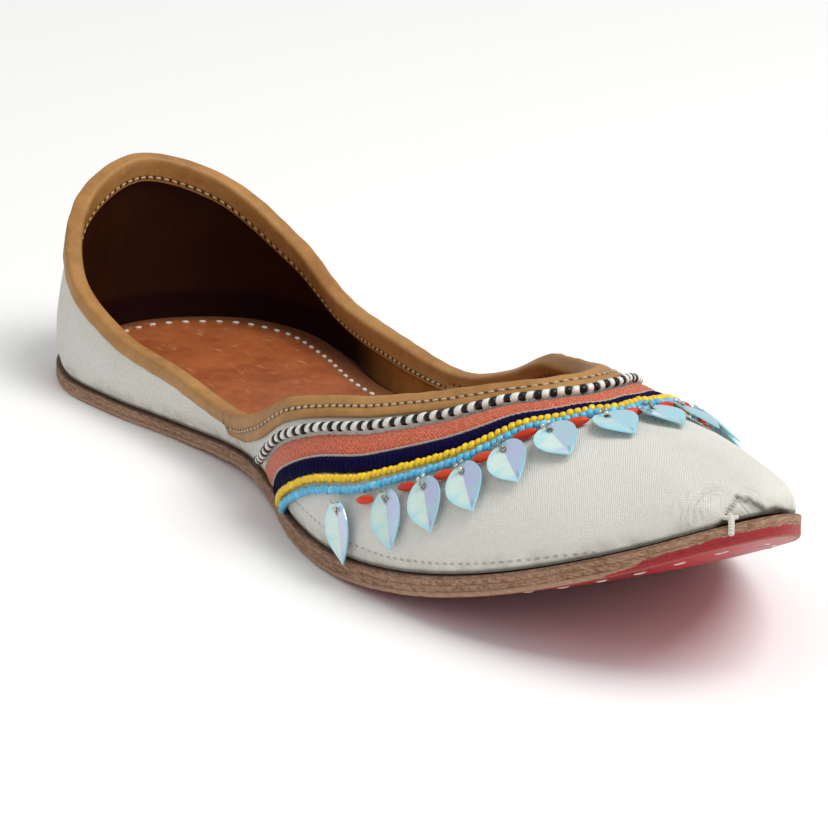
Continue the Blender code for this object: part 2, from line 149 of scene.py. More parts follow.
@dataclass
class Last:
    """The straight last that the shoe is made on, in metres: the same sizes as the solids have."""

    length: float = 0.257
    ball_half: float = 0.039
    collar_height: float = 0.0435
    toe_spring: float = 0.0290
    spring_start: float = 0.1045
    spring_power: float = 2.2
    toe_curl: float = 0.0050
    waist_lift: float = 0.0012
    waist: tuple[float, float] = (0.47, 0.74)
    gap: float = 0.0003
    outsole_thick: float = 0.0014
    midsole_thick: float = 0.0026
    midsole_heel_thick: float = 0.0014
    midsole_taper: tuple[float, float] = (0.35, 0.62)
    sole_lip: float = 0.0012
    wall: float = 0.0018
    steps: int = 48
    edge_step: float = 0.02
    along_step: float = 0.06
    square_step: float = 0.05
    down_step: float = 0.0015
    top_step: float = 0.004
    least_square: float = 0.3
    pattern_flare: float = 0.012

    def rows(self, keys: Array) -> Array:
        """The table's columns at rib keys, by a smooth curve that is even at both ends."""
        table = np.vstack((RIBS[1] * MIRRORED, RIBS, RIBS[-2] * MIRRORED))
        place = np.clip(np.abs(keys), 0.0, LAST_RIB)
        first = np.minimum(place.astype(int), LAST_RIB - 1)
        share = (place - first)[:, None]
        return smooth_curve([table[first + i] for i in range(4)], share)

    def edge(self, keys: Array, inset: Array | float = 0.0) -> tuple[Array, Array]:
        """Places on the sole's outline, seen from above.

        Args:
            keys: rib keys, negative on the -X side.
            inset: how far inside the outline.

        Returns:
            The points (x, y) and the outward directions there.
        """
        place = np.abs(keys)
        step = self.edge_step

        def at(where: Array) -> Array:
            """Points of the outline at rib keys."""
            row = self.rows(where)
            across = np.where(where < 0, -1.0, 1.0) * row[:, EDGE_OUT] * self.ball_half
            return np.stack((across, (row[:, EDGE_ALONG] - 0.5) * self.length), axis=1)

        tangent = at(place + step) - at(place - step)
        tangent[place + step > LAST_RIB] = (-1.0, 0.0)
        tangent = unit(tangent)
        outward = np.stack((tangent[:, 1], -tangent[:, 0]), axis=1)
        point = at(place) - outward * np.broadcast_to(inset, place.shape)[:, None]
        side = np.stack((np.where(keys < 0, -1.0, 1.0), np.ones(len(keys))), axis=1)
        return point * side, outward * side

    def ground(self, x: Array, y: Array) -> Array:
        """Height of the sole's underside: flat at heel and ball, lifted at the waist, sprung at the toe."""
        along = y + self.length / 2
        toe = np.maximum(0.0, (self.spring_start - along) / self.spring_start)
        height = self.toe_spring * toe**self.spring_power
        height = height + self.toe_curl * toe**2 * (x / self.ball_half) ** 2
        waist = np.clip((along / self.length - self.waist[0]) / (self.waist[1] - self.waist[0]), 0, 1)
        return height + self.waist_lift * np.sin(np.pi * waist) ** 2

    def midsole_low(self) -> float:
        """Height of the midsole's underside over the ground line."""
        return self.outsole_thick + self.gap

    def midsole_high(self, y: Array) -> Array:
        """Height of the midsole's top over the ground line, pared down from the ball to the heel."""
        share = smooth((y + self.length / 2) / self.length, *self.midsole_taper)
        pared = self.midsole_heel_thick - self.midsole_thick
        return self.midsole_low() + self.midsole_thick + pared * share

    def curves(self, keys: Array) -> tuple[Array, Array, Array, Array]:
        """The four points that shape each rib, from the topline down to the sole.

        Args:
            keys: rib keys.

        Returns:
            The ribs' tops, upper and lower handles, and feet.
        """
        row = self.rows(keys)
        side = np.where(keys < 0, -1.0, 1.0)
        edge, outward = self.edge(keys, self.sole_lip)
        height = self.ground(edge[:, 0], edge[:, 1]) + self.midsole_high(edge[:, 1]) + self.gap
        foot = np.column_stack((edge, height))
        top = np.column_stack((
            side * row[:, TOP_OUT] * self.ball_half,
            (row[:, TOP_ALONG] - 0.5) * self.length,
            row[:, TOP_HEIGHT] * self.collar_height,
        ))
        out = np.column_stack((outward, np.zeros(len(keys)))) * self.collar_height
        up = UP * self.collar_height
        low = foot + out * row[:, [BULGE]] + up * row[:, [RISE]]
        high = top + (foot - top) * (1, 1, 0) * row[:, [REACH]] + out * row[:, [LEAN]] - up * row[:, [DROP]]
        return top, high, low, foot

    @staticmethod
    def bezier(ends: Sequence[Array], share: Array) -> Array:
        """Points on the ribs, by the share of the curve's own run."""
        t = share[..., None]
        top, high, low, foot = (end[:, None, :] for end in ends)
        return top * (1 - t) ** 3 + 3 * high * t * (1 - t) ** 2 + 3 * low * t**2 * (1 - t) + foot * t**3

    def ribs(self, keys: Array) -> tuple[tuple[Array, Array, Array, Array], Array]:
        """The ribs' curves and the way travelled down each of them."""
        ends = self.curves(keys)
        points = self.bezier(ends, np.linspace(0, 1, self.steps + 1)[None, :].repeat(len(keys), axis=0))
        steps = np.linalg.norm(np.diff(points, axis=1), axis=2)
        return ends, np.concatenate((np.zeros((len(keys), 1)), np.cumsum(steps, axis=1)), axis=1)

    def lengths(self, keys: Array) -> Array:
        """Length of each rib, from the topline to the sole."""
        return self.ribs(keys)[1][:, -1]

    def on_rib(self, keys: Array, reach: Array, shares: bool = False) -> Array:
        """Points on the outer face.

        Args:
            keys: rib keys.
            reach: the way down each rib, in metres.
            shares: true where reach is a share of the rib instead.

        Returns:
            One point for each key.
        """
        ends, way = self.ribs(keys)
        reach = reach * way[:, -1] if shares else np.clip(reach, 0.0, way[:, -1])
        slot = np.clip((way <= reach[:, None]).sum(axis=1) - 1, 0, self.steps - 1)
        index = np.arange(len(keys))
        start = way[index, slot]
        share = (slot + (reach - start) / (way[index, slot + 1] - start)) / self.steps
        return self.bezier(ends, share[:, None])[:, 0]

    def normals(self, keys: Array, reach: Array) -> Array:
        """The outer face's outward directions.

        Args:
            keys: rib keys.
            reach: the way down each rib, in metres.

        Returns:
            One direction of length 1 for each key.
        """
        step, drop = self.along_step, self.down_step
        length = self.lengths(keys)
        reach = np.clip(reach, 0.0, length)

        def at(where: Array) -> Array:
            """Points beside, at the same shares of their ribs, round the heel too."""
            over = np.abs(where) > LAST_RIB
            wrapped = np.where(over, where - np.copysign(2 * LAST_RIB, where), where)
            return self.on_rib(wrapped, reach / length, shares=True)

        along = at(keys + step) - at(keys - step)
        down = self.on_rib(keys, reach + drop) - self.on_rib(keys, np.maximum(reach - drop, 0.0))
        return unit(np.cross(down, along))

    def surface(self, keys: Array, reach: Array, stand: Array | float = 0.0) -> Array:
        """Points standing off the outer face; a negative stand goes into the wall."""
        stand = np.broadcast_to(stand, keys.shape)[:, None]
        return self.on_rib(keys, reach) + self.normals(keys, reach) * stand

    def squared(self, keys: Array, distance: Array | float) -> Array:
        """The way down a rib that lies this far from the topline, square to the topline's own direction.

        Args:
            keys: rib keys.
            distance: how far from the topline.

        Returns:
            The way down each rib, in metres.
        """
        step = self.square_step
        keys = np.clip(keys, step - LAST_RIB, LAST_RIB - step)
        start = np.zeros(len(keys))
        along = self.on_rib(keys + step, start) - self.on_rib(keys - step, start)
        down = self.on_rib(keys, start + self.top_step) - self.on_rib(keys, start)
        cosine = (unit(along) * unit(down)).sum(axis=1)
        return distance / np.sqrt(np.maximum(1 - cosine**2, self.least_square))

    def drawn(self, keys: Array, distance: Array | float) -> Array:
        """The way down a rib to the trim, which drifts to and fro from the throat's own line."""
        return self.squared(keys, distance * (1 + self.rows(keys)[:, DRIFT]))

    def flat(self, keys: Array, reach: Array) -> Array:
        """The upper laid flat, as its pattern is cut: where each place lies in the cloth, in metres."""
        top, _, _, foot = self.curves(keys)
        outward = self.edge(keys)[1]
        heading = unit((foot - top)[:, :2] + outward * self.pattern_flare)
        return top[:, :2] + heading * reach[:, None]


@dataclass
class ThroatLine:
    """A line that follows the topline at a set distance, with a frame at any place along it.

    Places run by true length from the middle of the vamp, negative on the -X side.
    """

    last: Last
    distance: float
    end: float
    samples: int = 901
    step: float = 0.0004
    keys: Array = field(init=False)
    way: Array = field(init=False)

    def __post_init__(self) -> None:
        """Measures the line once."""
        self.keys = np.linspace(-self.end, self.end, self.samples)
        line = self.last.on_rib(self.keys, self.last.drawn(self.keys, self.distance))
        way = walked(line)
        self.way = way - way[-1] / 2

    @property
    def half(self) -> float:
        """Half of the line's length."""
        return float(self.way[-1])

    def keys_at(self, way: Array) -> Array:
        """Rib keys at true lengths along the line."""
        return np.interp(way, self.way, self.keys)

    def frames(self, way: Array, stand: float) -> tuple[Array, Array, Array, Array]:
        """Places along the line with their directions.

        Args:
            way: true lengths from the middle.
            stand: how far off the upper.

        Returns:
            The points, the way along, the way up to the throat and the way out, all of length 1.
        """
        keys = self.keys_at(way)
        reach = self.last.drawn(keys, self.distance)
        point = self.last.surface(keys, reach, stand)
        out = self.last.normals(keys, reach)
        ahead, behind = self.keys_at(way + self.step), self.keys_at(way - self.step)
        along = self.last.on_rib(ahead, self.last.drawn(ahead, self.distance))
        along = unit(along - self.last.on_rib(behind, self.last.drawn(behind, self.distance)))
        upward = unit(np.cross(out, along))
        return point, unit(np.cross(upward, out)), upward, out


# Shader work


def paint(red: int, green: int, blue: int) -> Colour:
    """A colour as it is mixed on a screen, turned into light by the screen's own curve."""
    return tuple(
        (value / 255 / 12.92) if value <= 10 else ((value / 255 + 0.055) / 1.055) ** 2.4
        for value in (red, green, blue)
    )


def operator(operation: str, swapped: bool = False) -> Callable[["Socket", "Socket | float"], "Socket"]:
    """Makes a method that adds one Math node.

    Args:
        operation: what the node does.
        swapped: true where the socket is the second of the two values.

    Returns:
        The method.
    """

    def method(self: "Socket", other: "Socket | float") -> "Socket":
        """Joins this socket and the other value in a Math node."""
        return self.maths(operation, other, self) if swapped else self.maths(operation, self, other)

    return method


class Socket:
    """A shader socket that takes part in Python's arithmetic."""

    def __init__(self, nodes: "Nodes", socket: bpy.types.NodeSocket) -> None:
        """Keeps the socket and the nodes that it belongs to."""
        self.nodes = nodes
        self.socket = socket

    def maths(self, operation: str, first: "Socket | float", second: "Socket | float") -> "Socket":
        """Adds one Math node."""
        return self.nodes.add("ShaderNodeMath", {"operation": operation}, {0: first, 1: second})

    __add__ = __radd__ = operator("ADD")
    __sub__ = operator("SUBTRACT")
    __rsub__ = operator("SUBTRACT", swapped=True)
    __mul__ = __rmul__ = operator("MULTIPLY")
    __truediv__ = operator("DIVIDE")
    __mod__ = operator("FLOORED_MODULO")
    most = operator("MAXIMUM")

    def size(self) -> "Socket":
        """The value without its sign."""
        return self.maths("ABSOLUTE", self, 0.0)

    def wave(self, length: float) -> "Socket":
        """A sine wave of this length, from 0 to 1."""
        return self.maths("SINE", self * (2 * math.pi / length), 0.0) * 0.5 + 0.5

    def ease(self, low: float, high: float) -> "Socket":
        """Eases from 0 at low to 1 at high; high may lie below low."""
        ends = (0.0, 1.0) if low < high else (1.0, 0.0)
        values = {"Value": self, 1: min(low, high), 2: max(low, high), 3: ends[0], 4: ends[1]}
        return self.nodes.add("ShaderNodeMapRange", {"interpolation_type": "SMOOTHSTEP"}, values)


class Nodes:
    """A material with its node tree, and one way to add a node to it."""

    def __init__(self, name: str) -> None:
        """Starts a material of this name with its one shader."""
        self.material = bpy.data.materials.new(name)
        self.material.use_nodes = True
        self.tree = self.material.node_tree
        self.shader = self.tree.nodes["Principled BSDF"]

    def add(self, kind: str, settings: dict, values: dict, output: int | str = 0) -> Socket:
        """Adds a node.

        Args:
            kind: the node's type.
            settings: the node's own settings, which are set first.
            values: numbers, colours or sockets for its inputs, by name or number.
            output: which of its outputs is wanted.

        Returns:
            The output, ready for arithmetic.
        """
        node = self.tree.nodes.new(kind)
        for name, value in settings.items():
            setattr(node, name, value)
        for name, value in values.items():
            self.put(node.inputs[name], value)
        return Socket(self, node.outputs[output])

    def put(self, target: bpy.types.NodeSocket, value: "Socket | float | Sequence[float]") -> None:
        """Links a socket into a target, or writes a plain value there."""
        if isinstance(value, Socket):
            self.tree.links.new(value.socket, target)
        elif isinstance(value, tuple) and target.type == "RGBA":
            target.default_value = (*value[:3], 1.0)
        else:
            target.default_value = value

    def place(self) -> Socket:
        """The place on the piece, in metres."""
        return self.add("ShaderNodeTexCoord", {}, {}, "Object")

    def flat(self) -> Socket:
        """The piece's own UV map, in metres."""
        return self.add("ShaderNodeUVMap", {"uv_map": FLAT_MAP}, {})

    def parts(self, vector: Socket) -> tuple[Socket, Socket, Socket]:
        """A vector's three numbers."""
        node = self.tree.nodes.new("ShaderNodeSeparateXYZ")
        self.put(node.inputs[0], vector)
        return Socket(self, node.outputs[0]), Socket(self, node.outputs[1]), Socket(self, node.outputs[2])

    def vector(self, x: Socket | float, y: Socket | float, z: Socket | float = 0.0) -> Socket:
        """Three numbers as a vector."""
        return self.add("ShaderNodeCombineXYZ", {}, {0: x, 1: y, 2: z})

    def tone(self, layer: str) -> Socket:
        """A number kept on the mesh under this name."""
        return self.add("ShaderNodeAttribute", {"attribute_name": layer}, {}, "Fac")

    def noise(self, place: Socket, pitch: float, detail: float = 2.0, rough: float = 0.5) -> Socket:
        """Cloudy noise, from 0 to 1.

        Args:
            place: where it is read.
            pitch: size of its lumps in metres.
            detail: how many finer layers it has.
            rough: how strong those are.

        Returns:
            The noise's value.
        """
        values = {"Vector": place, "Scale": 1 / pitch, "Detail": detail, "Roughness": rough}
        return self.add("ShaderNodeTexNoise", {}, values, "Fac")

    def cells(self, place: Socket, pitch: float) -> Socket:
        """Distance to the nearest of many scattered points, in cells of this pitch."""
        values = {"Vector": place, "Scale": 1 / pitch}
        return self.add("ShaderNodeTexVoronoi", {"feature": "F1"}, values, "Distance")

    def mix(self, first: Socket | Colour, second: Socket | Colour, share: Socket | float) -> Socket:
        """Blends two colours.

        Args:
            first: the colour where the share is 0.
            second: the colour where it is 1.
            share: how much of the second.

        Returns:
            The blend.
        """
        node = self.tree.nodes.new("ShaderNodeMix")
        node.data_type = "RGBA"
        by_name = {socket.identifier: socket for socket in node.inputs}
        self.put(by_name["Factor_Float"], share)
        self.put(by_name["A_Color"], first)
        self.put(by_name["B_Color"], second)
        return Socket(self, next(out for out in node.outputs if out.identifier == "Result_Color"))

    def relief(self, height: Socket, depth: float) -> None:
        """Feeds a height, from 0 to 1 for this depth in metres, to the shader's normal."""
        values = {"Strength": 1.0, "Distance": depth, "Height": height}
        self.dress(Normal=self.add("ShaderNodeBump", {}, values))

    def dress(self, **values: "Socket | float | Colour") -> None:
        """Sets the shader's sockets, by their names with underscores for spaces."""
        for name, value in values.items():
            self.put(self.shader.inputs[name.replace("_", " ")], value)


@dataclass(frozen=True)
class WovenCloth:
    """The cream plain-woven cloth of the upper, creased and torn at the toe, grimy along the sole, with
    painted shadow lines along its joint with the sole and under the torn edge.
    """

    thread: float = 0.00052
    light: Colour = paint(232, 230, 221)
    shade: Colour = paint(200, 197, 184)
    grime: Colour = paint(150, 140, 116)
    # The seam colour also paints the shadow along the joint with the sole and under the torn edge.
    seam: Colour = paint(84, 74, 56)
    wrinkle: float = 0.0013
    pitch: float = 0.0021
    depth: float = 0.00024

    def make(self) -> Finish:
        """Builds the cloth."""
        nodes = Nodes("woven cloth")
        place = nodes.place()
        across, along, _ = nodes.parts(nodes.flat())
        wander = nodes.noise(place, 0.006, 2.0) * self.thread
        warp = (across + wander).wave(self.thread)
        weft = (along + wander).wave(self.thread * 1.1)
        slub = nodes.noise(nodes.vector(across * 6.0, along), 0.0022, 2.0)
        weave = warp * weft + (1 - warp) * (1 - weft)
        pebble = nodes.noise(place, 0.0011, 2.0)
        far = nodes.tone("far")
        gathered = far.ease(0.013, 0.006) * far.ease(0.0020, 0.0032)
        gathered = gathered * nodes.noise(place, 0.0045, 2.0).ease(0.38, 0.60)
        crease = (far + nodes.noise(place, 0.0030, 3.0) * 0.0034).wave(self.wrinkle) * gathered
        height = weave * 0.6 + slub * 0.25 + pebble * 0.5
        rise = nodes.tone("rise")
        drop = nodes.tone("drop")
        blotch = nodes.noise(place, 0.020, 3.0)
        colour = nodes.mix(self.shade, self.light, (height * 0.75 + 0.25).ease(0.15, 0.85))
        colour = nodes.mix(colour, self.light, blotch.ease(0.35, 0.75) * 0.5)
        low = rise.ease(0.0045, 0.0003) * nodes.noise(place, 0.004, 4.0).ease(0.35, 0.7)
        colour = nodes.mix(colour, self.grime, low * 0.45)
        # Painted shadow: the seam colour darkens the cloth's lowest millimetre, where it meets the sole.
        colour = nodes.mix(colour, self.seam, rise.ease(0.0011, 0.0003) * 0.75)
        specks = nodes.cells(place, 0.012).ease(0.035, 0.015) * 0.5
        colour = nodes.mix(colour, self.grime, specks)
        seams = self.seams(nodes, drop)
        colour = nodes.mix(colour, self.seam, seams * 0.42)
        colour = nodes.mix(colour, self.shade, drop.ease(0.0004, 0.0) * 0.5)
        colour = nodes.mix(colour, self.shade, crease * 0.25)
        # Painted shadow: a line in the seam colour just under the torn edge.
        colour = nodes.mix(colour, self.seam, nodes.tone("tear_shadow") * 0.85)
        nodes.dress(Base_Color=colour, Roughness=0.78, Sheen_Weight=0.15, Sheen_Roughness=0.5)
        nodes.relief(height - crease * 1.1 - seams * 1.2, self.depth)
        return nodes.material

    def seams(self, nodes: Nodes, drop: Socket) -> Socket:
        """Where the stitched row along the sole and the side seam draw a darker line."""
        dash = nodes.tone("run").wave(self.pitch).ease(0.30, 0.80)
        row = nodes.tone("row").size().ease(0.00030, 0.00008) * dash * 0.8
        side = nodes.tone("beside").size().ease(0.0004, 0.0001) * drop.ease(0.0044, 0.0050)
        return row.most(side)


@dataclass(frozen=True)
class Leather:
    """A leather finish: two tones, a fine grain, scuffs and an amount of gloss."""

    name: str
    light: Colour
    dark: Colour
    scuff: Colour
    roughness: float = 0.5
    grain: float = 0.0007
    depth: float = 0.00006
    wear: float = 0.4
    slot: Colour | None = None
    slot_line: float = 0.0
    slot_pitch: float = 0.0021
    shade_and_stain: Colour | None = None
    gloss: float = 0.3

    def make(self) -> Finish:
        """Builds the leather."""
        nodes = Nodes(self.name)
        place = nodes.place()
        broad = nodes.noise(place, 0.018, 4.0)
        fine = nodes.noise(place, 0.0032, 4.0, 0.6)
        pores = nodes.cells(place, self.grain)
        colour = nodes.mix(self.dark, self.light, (broad * 0.6 + fine * 0.4).ease(0.3, 0.68))
        scuffs = nodes.noise(nodes.vector(*self.stretch(nodes, place)), 0.005, 4.0, 0.65).ease(0.56, 0.76)
        colour = nodes.mix(colour, self.scuff, scuffs * self.wear)
        if self.slot:
            colour = nodes.mix(colour, self.slot, self.slots(nodes))
        # Mixes in the darker colour by the piece's mask: painted shade on the lining, a stain outside the
        # stitch row on the sock.
        if self.shade_and_stain:
            colour = nodes.mix(colour, self.shade_and_stain, nodes.tone("shade_and_stain"))
        rough = self.roughness + (fine - 0.5) * 0.18 + scuffs * 0.12
        nodes.dress(Base_Color=colour, Roughness=rough, Specular_IOR_Level=self.gloss)
        nodes.dress(Coat_Weight=self.gloss * 0.2, Coat_Roughness=0.35)
        nodes.relief(pores * 0.6 + fine * 0.6, self.depth)
        return nodes.material

    def slots(self, nodes: Nodes) -> Socket:
        """Where the awl went in, between the stitches of the strip's row, and the groove that they pull."""
        way, reach, _ = nodes.parts(nodes.flat())
        beside = (reach - self.slot_line).size()
        gap = ((way / self.slot_pitch) % 1.0 - 0.5).size()
        holes = gap.ease(0.27, 0.36) * beside.ease(0.00065, 0.00035)
        return holes.most(beside.ease(0.0010, 0.0002) * 0.3)

    @staticmethod
    def stretch(nodes: Nodes, place: Socket) -> tuple[Socket, Socket, Socket]:
        """The place with its length along the shoe drawn out, for streaky marks."""
        x, y, z = nodes.parts(place)
        return x * 2.0, y * 0.8, z * 2.0


@dataclass(frozen=True)
class SoleEdge:
    """The rough edge of the stacked leather: a paler strip at its foot, painted shade along its brim under
    the cloth, red at the toe.
    """

    light: Colour = paint(180, 142, 114)
    dark: Colour = paint(122, 86, 62)
    strip: Colour = paint(186, 150, 124)
    # The crack colour also paints the shade along the brim under the cloth.
    crack_and_shade: Colour = paint(66, 42, 28)
    red: Colour = paint(158, 14, 26)
    depth: float = 0.0004

    def make(self) -> Finish:
        """Builds the edge finish."""
        nodes = Nodes("stacked leather edge")
        place = nodes.place()
        x, y, z = nodes.parts(place)
        layer = nodes.tone("layer")
        fibre = nodes.noise(nodes.vector(x, y, z * 5.0), 0.0022, 5.0, 0.65)
        grit = nodes.noise(place, 0.0008, 3.0, 0.7)
        broad = nodes.noise(place, 0.011, 2.0)
        mottle = fibre * 0.5 + grit * 0.35 + broad * 0.15
        colour = nodes.mix(self.dark, self.light, mottle.ease(0.38, 0.6))
        colour = nodes.mix(colour, self.strip, layer.ease(0.0012, 0.0007) * 0.5)
        lines = (layer + fibre * 0.0009).wave(0.0013).ease(0.86, 1.0) * grit.ease(0.40, 0.62)
        colour = nodes.mix(colour, self.crack_and_shade, lines * 0.5)
        # Painted shade: the brim under the cloth is darkened in the crack colour.
        colour = nodes.mix(colour, self.crack_and_shade, nodes.tone("brim") * 0.8)
        varnish = (nodes.tone("red") + (nodes.noise(place, 0.0045, 4.0, 0.6) - 0.5) * 1.1).ease(0.47, 0.54)
        colour = nodes.mix(colour, self.red, varnish)
        nodes.dress(Base_Color=colour, Roughness=0.74 + grit * 0.12 - varnish * 0.35)
        nodes.relief(fibre * 0.6 + grit * 0.7 - lines * 0.5, self.depth)
        return nodes.material


@dataclass(frozen=True)
class RedSole:
    """The glossy red varnish of the underside, bare leather along its edge."""

    red: Colour = paint(176, 14, 30)
    deep: Colour = paint(132, 6, 18)
    bare: Colour = paint(150, 108, 84)
    depth: float = 0.0003

    def make(self) -> Finish:
        """Builds the varnish."""
        nodes = Nodes("red varnished leather")
        place = nodes.place()
        inset = nodes.tone("inset")
        broad = nodes.noise(place, 0.016, 4.0)
        fine = nodes.noise(place, 0.0022, 3.0)
        colour = nodes.mix(self.deep, self.red, broad.ease(0.3, 0.6))
        border = (inset + (broad - 0.5) * 0.0016 + (fine - 0.5) * 0.0006).ease(0.0010, 0.0005)
        colour = nodes.mix(colour, self.bare, border * 0.8)
        nodes.dress(Base_Color=colour, Roughness=0.36 + border * 0.4 + (fine - 0.5) * 0.15)
        nodes.dress(Coat_Weight=0.08, Coat_Roughness=0.25, Specular_IOR_Level=0.25)
        nodes.relief(fine * 0.5 + broad, self.depth)
        return nodes.material


@dataclass(frozen=True)
class GlassBead:
    """Glass or paste beads: a body colour that varies from bead to bead, and a gloss."""

    name: str
    body: Colour
    other: Colour
    roughness: float = 0.18
    coat: float = 0.7
    metallic: float = 0.0
    gloss: float = 0.5
    grain: float = 0.0006
    depth: float = 0.00003

    def make(self) -> Finish:
        """Builds the bead finish."""
        nodes = Nodes(self.name)
        place = nodes.place()
        fine = nodes.noise(place, self.grain, 2.0)
        colour = nodes.mix(self.body, self.other, (nodes.tone("tone") * 0.8 + fine * 0.3).ease(0.1, 1.0))
        nodes.dress(Base_Color=colour, Roughness=self.roughness + (fine - 0.5) * 0.12)
        nodes.dress(Metallic=self.metallic, Coat_Weight=self.coat, Coat_Roughness=0.1, IOR=1.52)
        nodes.dress(Specular_IOR_Level=self.gloss)
        nodes.relief(fine, self.depth)
        return nodes.material


@dataclass(frozen=True)
class BraidThread:
    """A flat braid of thread: strands that lean both ways, flecked with a second and third colour."""

    name: str
    body: Colour
    fleck: Colour
    glint: Colour
    pitch: float
    lean: float
    fleck_share: float = 0.5
    glint_share: float = 0.2
    depth: float = 0.00022
    sheen: float = 0.2
    roughness: float = 0.55
    gloss: float = 0.25

    def make(self) -> Finish:
        """Builds the braid's thread."""
        nodes = Nodes(self.name)
        place = nodes.place()
        along, across, _ = nodes.parts(nodes.flat())
        wander = (nodes.noise(place, 0.0025, 3.0) - 0.5) * (self.pitch * 2.0)
        left = (along + across * self.lean + wander).wave(self.pitch)
        right = (along - across * self.lean * 0.8 - wander).wave(self.pitch * 1.15)
        side = nodes.noise(nodes.vector(along, across), 0.0009, 2.0).ease(0.42, 0.58)
        height = left * side + right * (1 - side)
        patch = nodes.noise(nodes.vector(along, across * 2.0), 0.0011, 3.0, 0.7)
        far = nodes.noise(place, 0.009, 2.0)
        colour = nodes.mix(self.body, self.fleck, patch.ease(0.42, 0.66) * self.fleck_share)
        glints = (patch * 0.5 + far * 0.5).ease(0.55, 0.68) * self.glint_share
        colour = nodes.mix(colour, self.glint, glints)
        shadow = nodes.mix((0.0, 0.0, 0.0), colour, 0.45)
        colour = nodes.mix(shadow, colour, height.ease(0.0, 0.6))
        nodes.dress(Base_Color=colour, Roughness=self.roughness, Sheen_Weight=self.sheen)
        nodes.dress(Specular_IOR_Level=self.gloss)
        nodes.relief(height * 0.7 + patch * 0.3, self.depth)
        return nodes.material


@dataclass(frozen=True)
class Film:
    """The pearly film of the leaf sequins: paler on one half and bluer on the other, painted as a lit and a
    shaded half, with a painted highlight at the rim and painted shade in the holes.
    """

    # The paler mint half and the bluer half are the film painted lit and shaded.
    mint: Colour = paint(214, 236, 226)
    blue: Colour = paint(178, 212, 224)
    cyan: Colour = paint(146, 222, 242)
    lavender: Colour = paint(192, 194, 238)
    # The hole colour is painted shade seen through the holes.
    hole: Colour = paint(60, 66, 60)
    depth: float = 0.00004

    def make(self) -> Finish:
        """Builds the film."""
        nodes = Nodes("pearl film")
        across, along, _ = nodes.parts(nodes.flat())
        tone = nodes.tone("tone")
        half = across.ease(-0.0002, 0.0002)
        bands = nodes.noise(nodes.vector(across * 0.3 + half * 0.004, along, tone * 0.05), 0.0044, 1.0)
        # Painted light and shade: one half of the fold mint, the other blue.
        colour = nodes.mix(self.mint, self.blue, half)
        colour = nodes.mix(colour, self.lavender, bands.ease(0.50, 0.64) * 0.75)
        colour = nodes.mix(colour, self.cyan, bands.ease(0.44, 0.34) * 0.6)
        colour = nodes.mix(colour, self.cyan, tone * 0.6 * (1 - half * 0.45))
        # Painted highlight along the rim.
        colour = nodes.mix(colour, self.cyan, nodes.tone("rim") * 0.75)
        # Painted shade in the holes.
        colour = nodes.mix(colour, self.hole, nodes.tone("hole"))
        nodes.dress(Base_Color=colour, Roughness=0.16, Metallic=0.1)
        nodes.dress(Coat_Weight=1.0, Coat_Roughness=0.05, IOR=1.5)
        nodes.relief(bands, self.depth)
        return nodes.material


@dataclass(frozen=True)
class SewingThread:
    """Twisted sewing thread in one colour."""

    name: str
    body: Colour
    pitch: float = 0.0005
    roughness: float = 0.6
    depth: float = 0.00008

    def make(self) -> Finish:
        """Builds the thread."""
        nodes = Nodes(self.name)
        x, y, z = nodes.parts(nodes.place())
        twist = (x + y + z).wave(self.pitch)
        shadow = nodes.mix(self.body, (0.0, 0.0, 0.0), 0.3)
        colour = nodes.mix(shadow, self.body, twist)
        nodes.dress(Base_Color=colour, Roughness=self.roughness, Sheen_Weight=0.3)
        nodes.relief(twist, self.depth)
        return nodes.material


# Bench: how pieces are made


def clear_bench() -> None:
    """Leaves nothing selected."""
    bpy.ops.object.select_all(action="DESELECT")


def take(piece: Piece) -> None:
    """Selects one piece alone and makes it the one that operators act on."""
    clear_bench()
    piece.select_set(True)
    bpy.context.view_layer.objects.active = piece


def edit_all(piece: Piece, *steps: Callable[[], object]) -> None:
    """Runs edit-mode steps on the whole of a piece.

    Args:
        piece: the piece.
        steps: what is done in edit mode with everything selected.
    """
    take(piece)
    bpy.ops.object.mode_set(mode="EDIT")
    bpy.ops.mesh.select_all(action="SELECT")
    for step in steps:
        step()
    bpy.ops.object.mode_set(mode="OBJECT")


def coordinates(piece: Piece) -> Array:
    """A copy of the piece's points."""
    points = np.empty(len(piece.data.vertices) * 3)
    piece.data.vertices.foreach_get("co", points)
    return points.reshape(-1, 3)


def move_points(piece: Piece, points: Array) -> None:
    """Puts the piece's points where they are given."""
    piece.data.vertices.foreach_set("co", np.ascontiguousarray(points, dtype=float).ravel())
    piece.data.update()


def keep_tone(piece: Piece, layer: str, values: Array | float) -> None:
    """Keeps a number for each point of the piece under a name that its material reads.

    Args:
        piece: the piece.
        layer: the name.
        values: one number for each point, or one for all.
    """
    mesh = piece.data
    attribute = mesh.attributes.get(layer) or mesh.attributes.new(layer, "FLOAT", "POINT")
    values = np.broadcast_to(values, (len(mesh.vertices),))
    attribute.data.foreach_set("value", np.ascontiguousarray(values, dtype=np.float32))


def keep_flat(piece: Piece, flat: Array) -> None:
    """Writes the piece's UV map from one place for each point."""
    mesh = piece.data
    corners = np.empty(len(mesh.loops), dtype=np.int32)
    mesh.loops.foreach_get("vertex_index", corners)
    layer = mesh.uv_layers.get(FLAT_MAP) or mesh.uv_layers.new(name=FLAT_MAP)
    layer.data.foreach_set("uv", np.ascontiguousarray(flat[corners], dtype=np.float32).ravel())


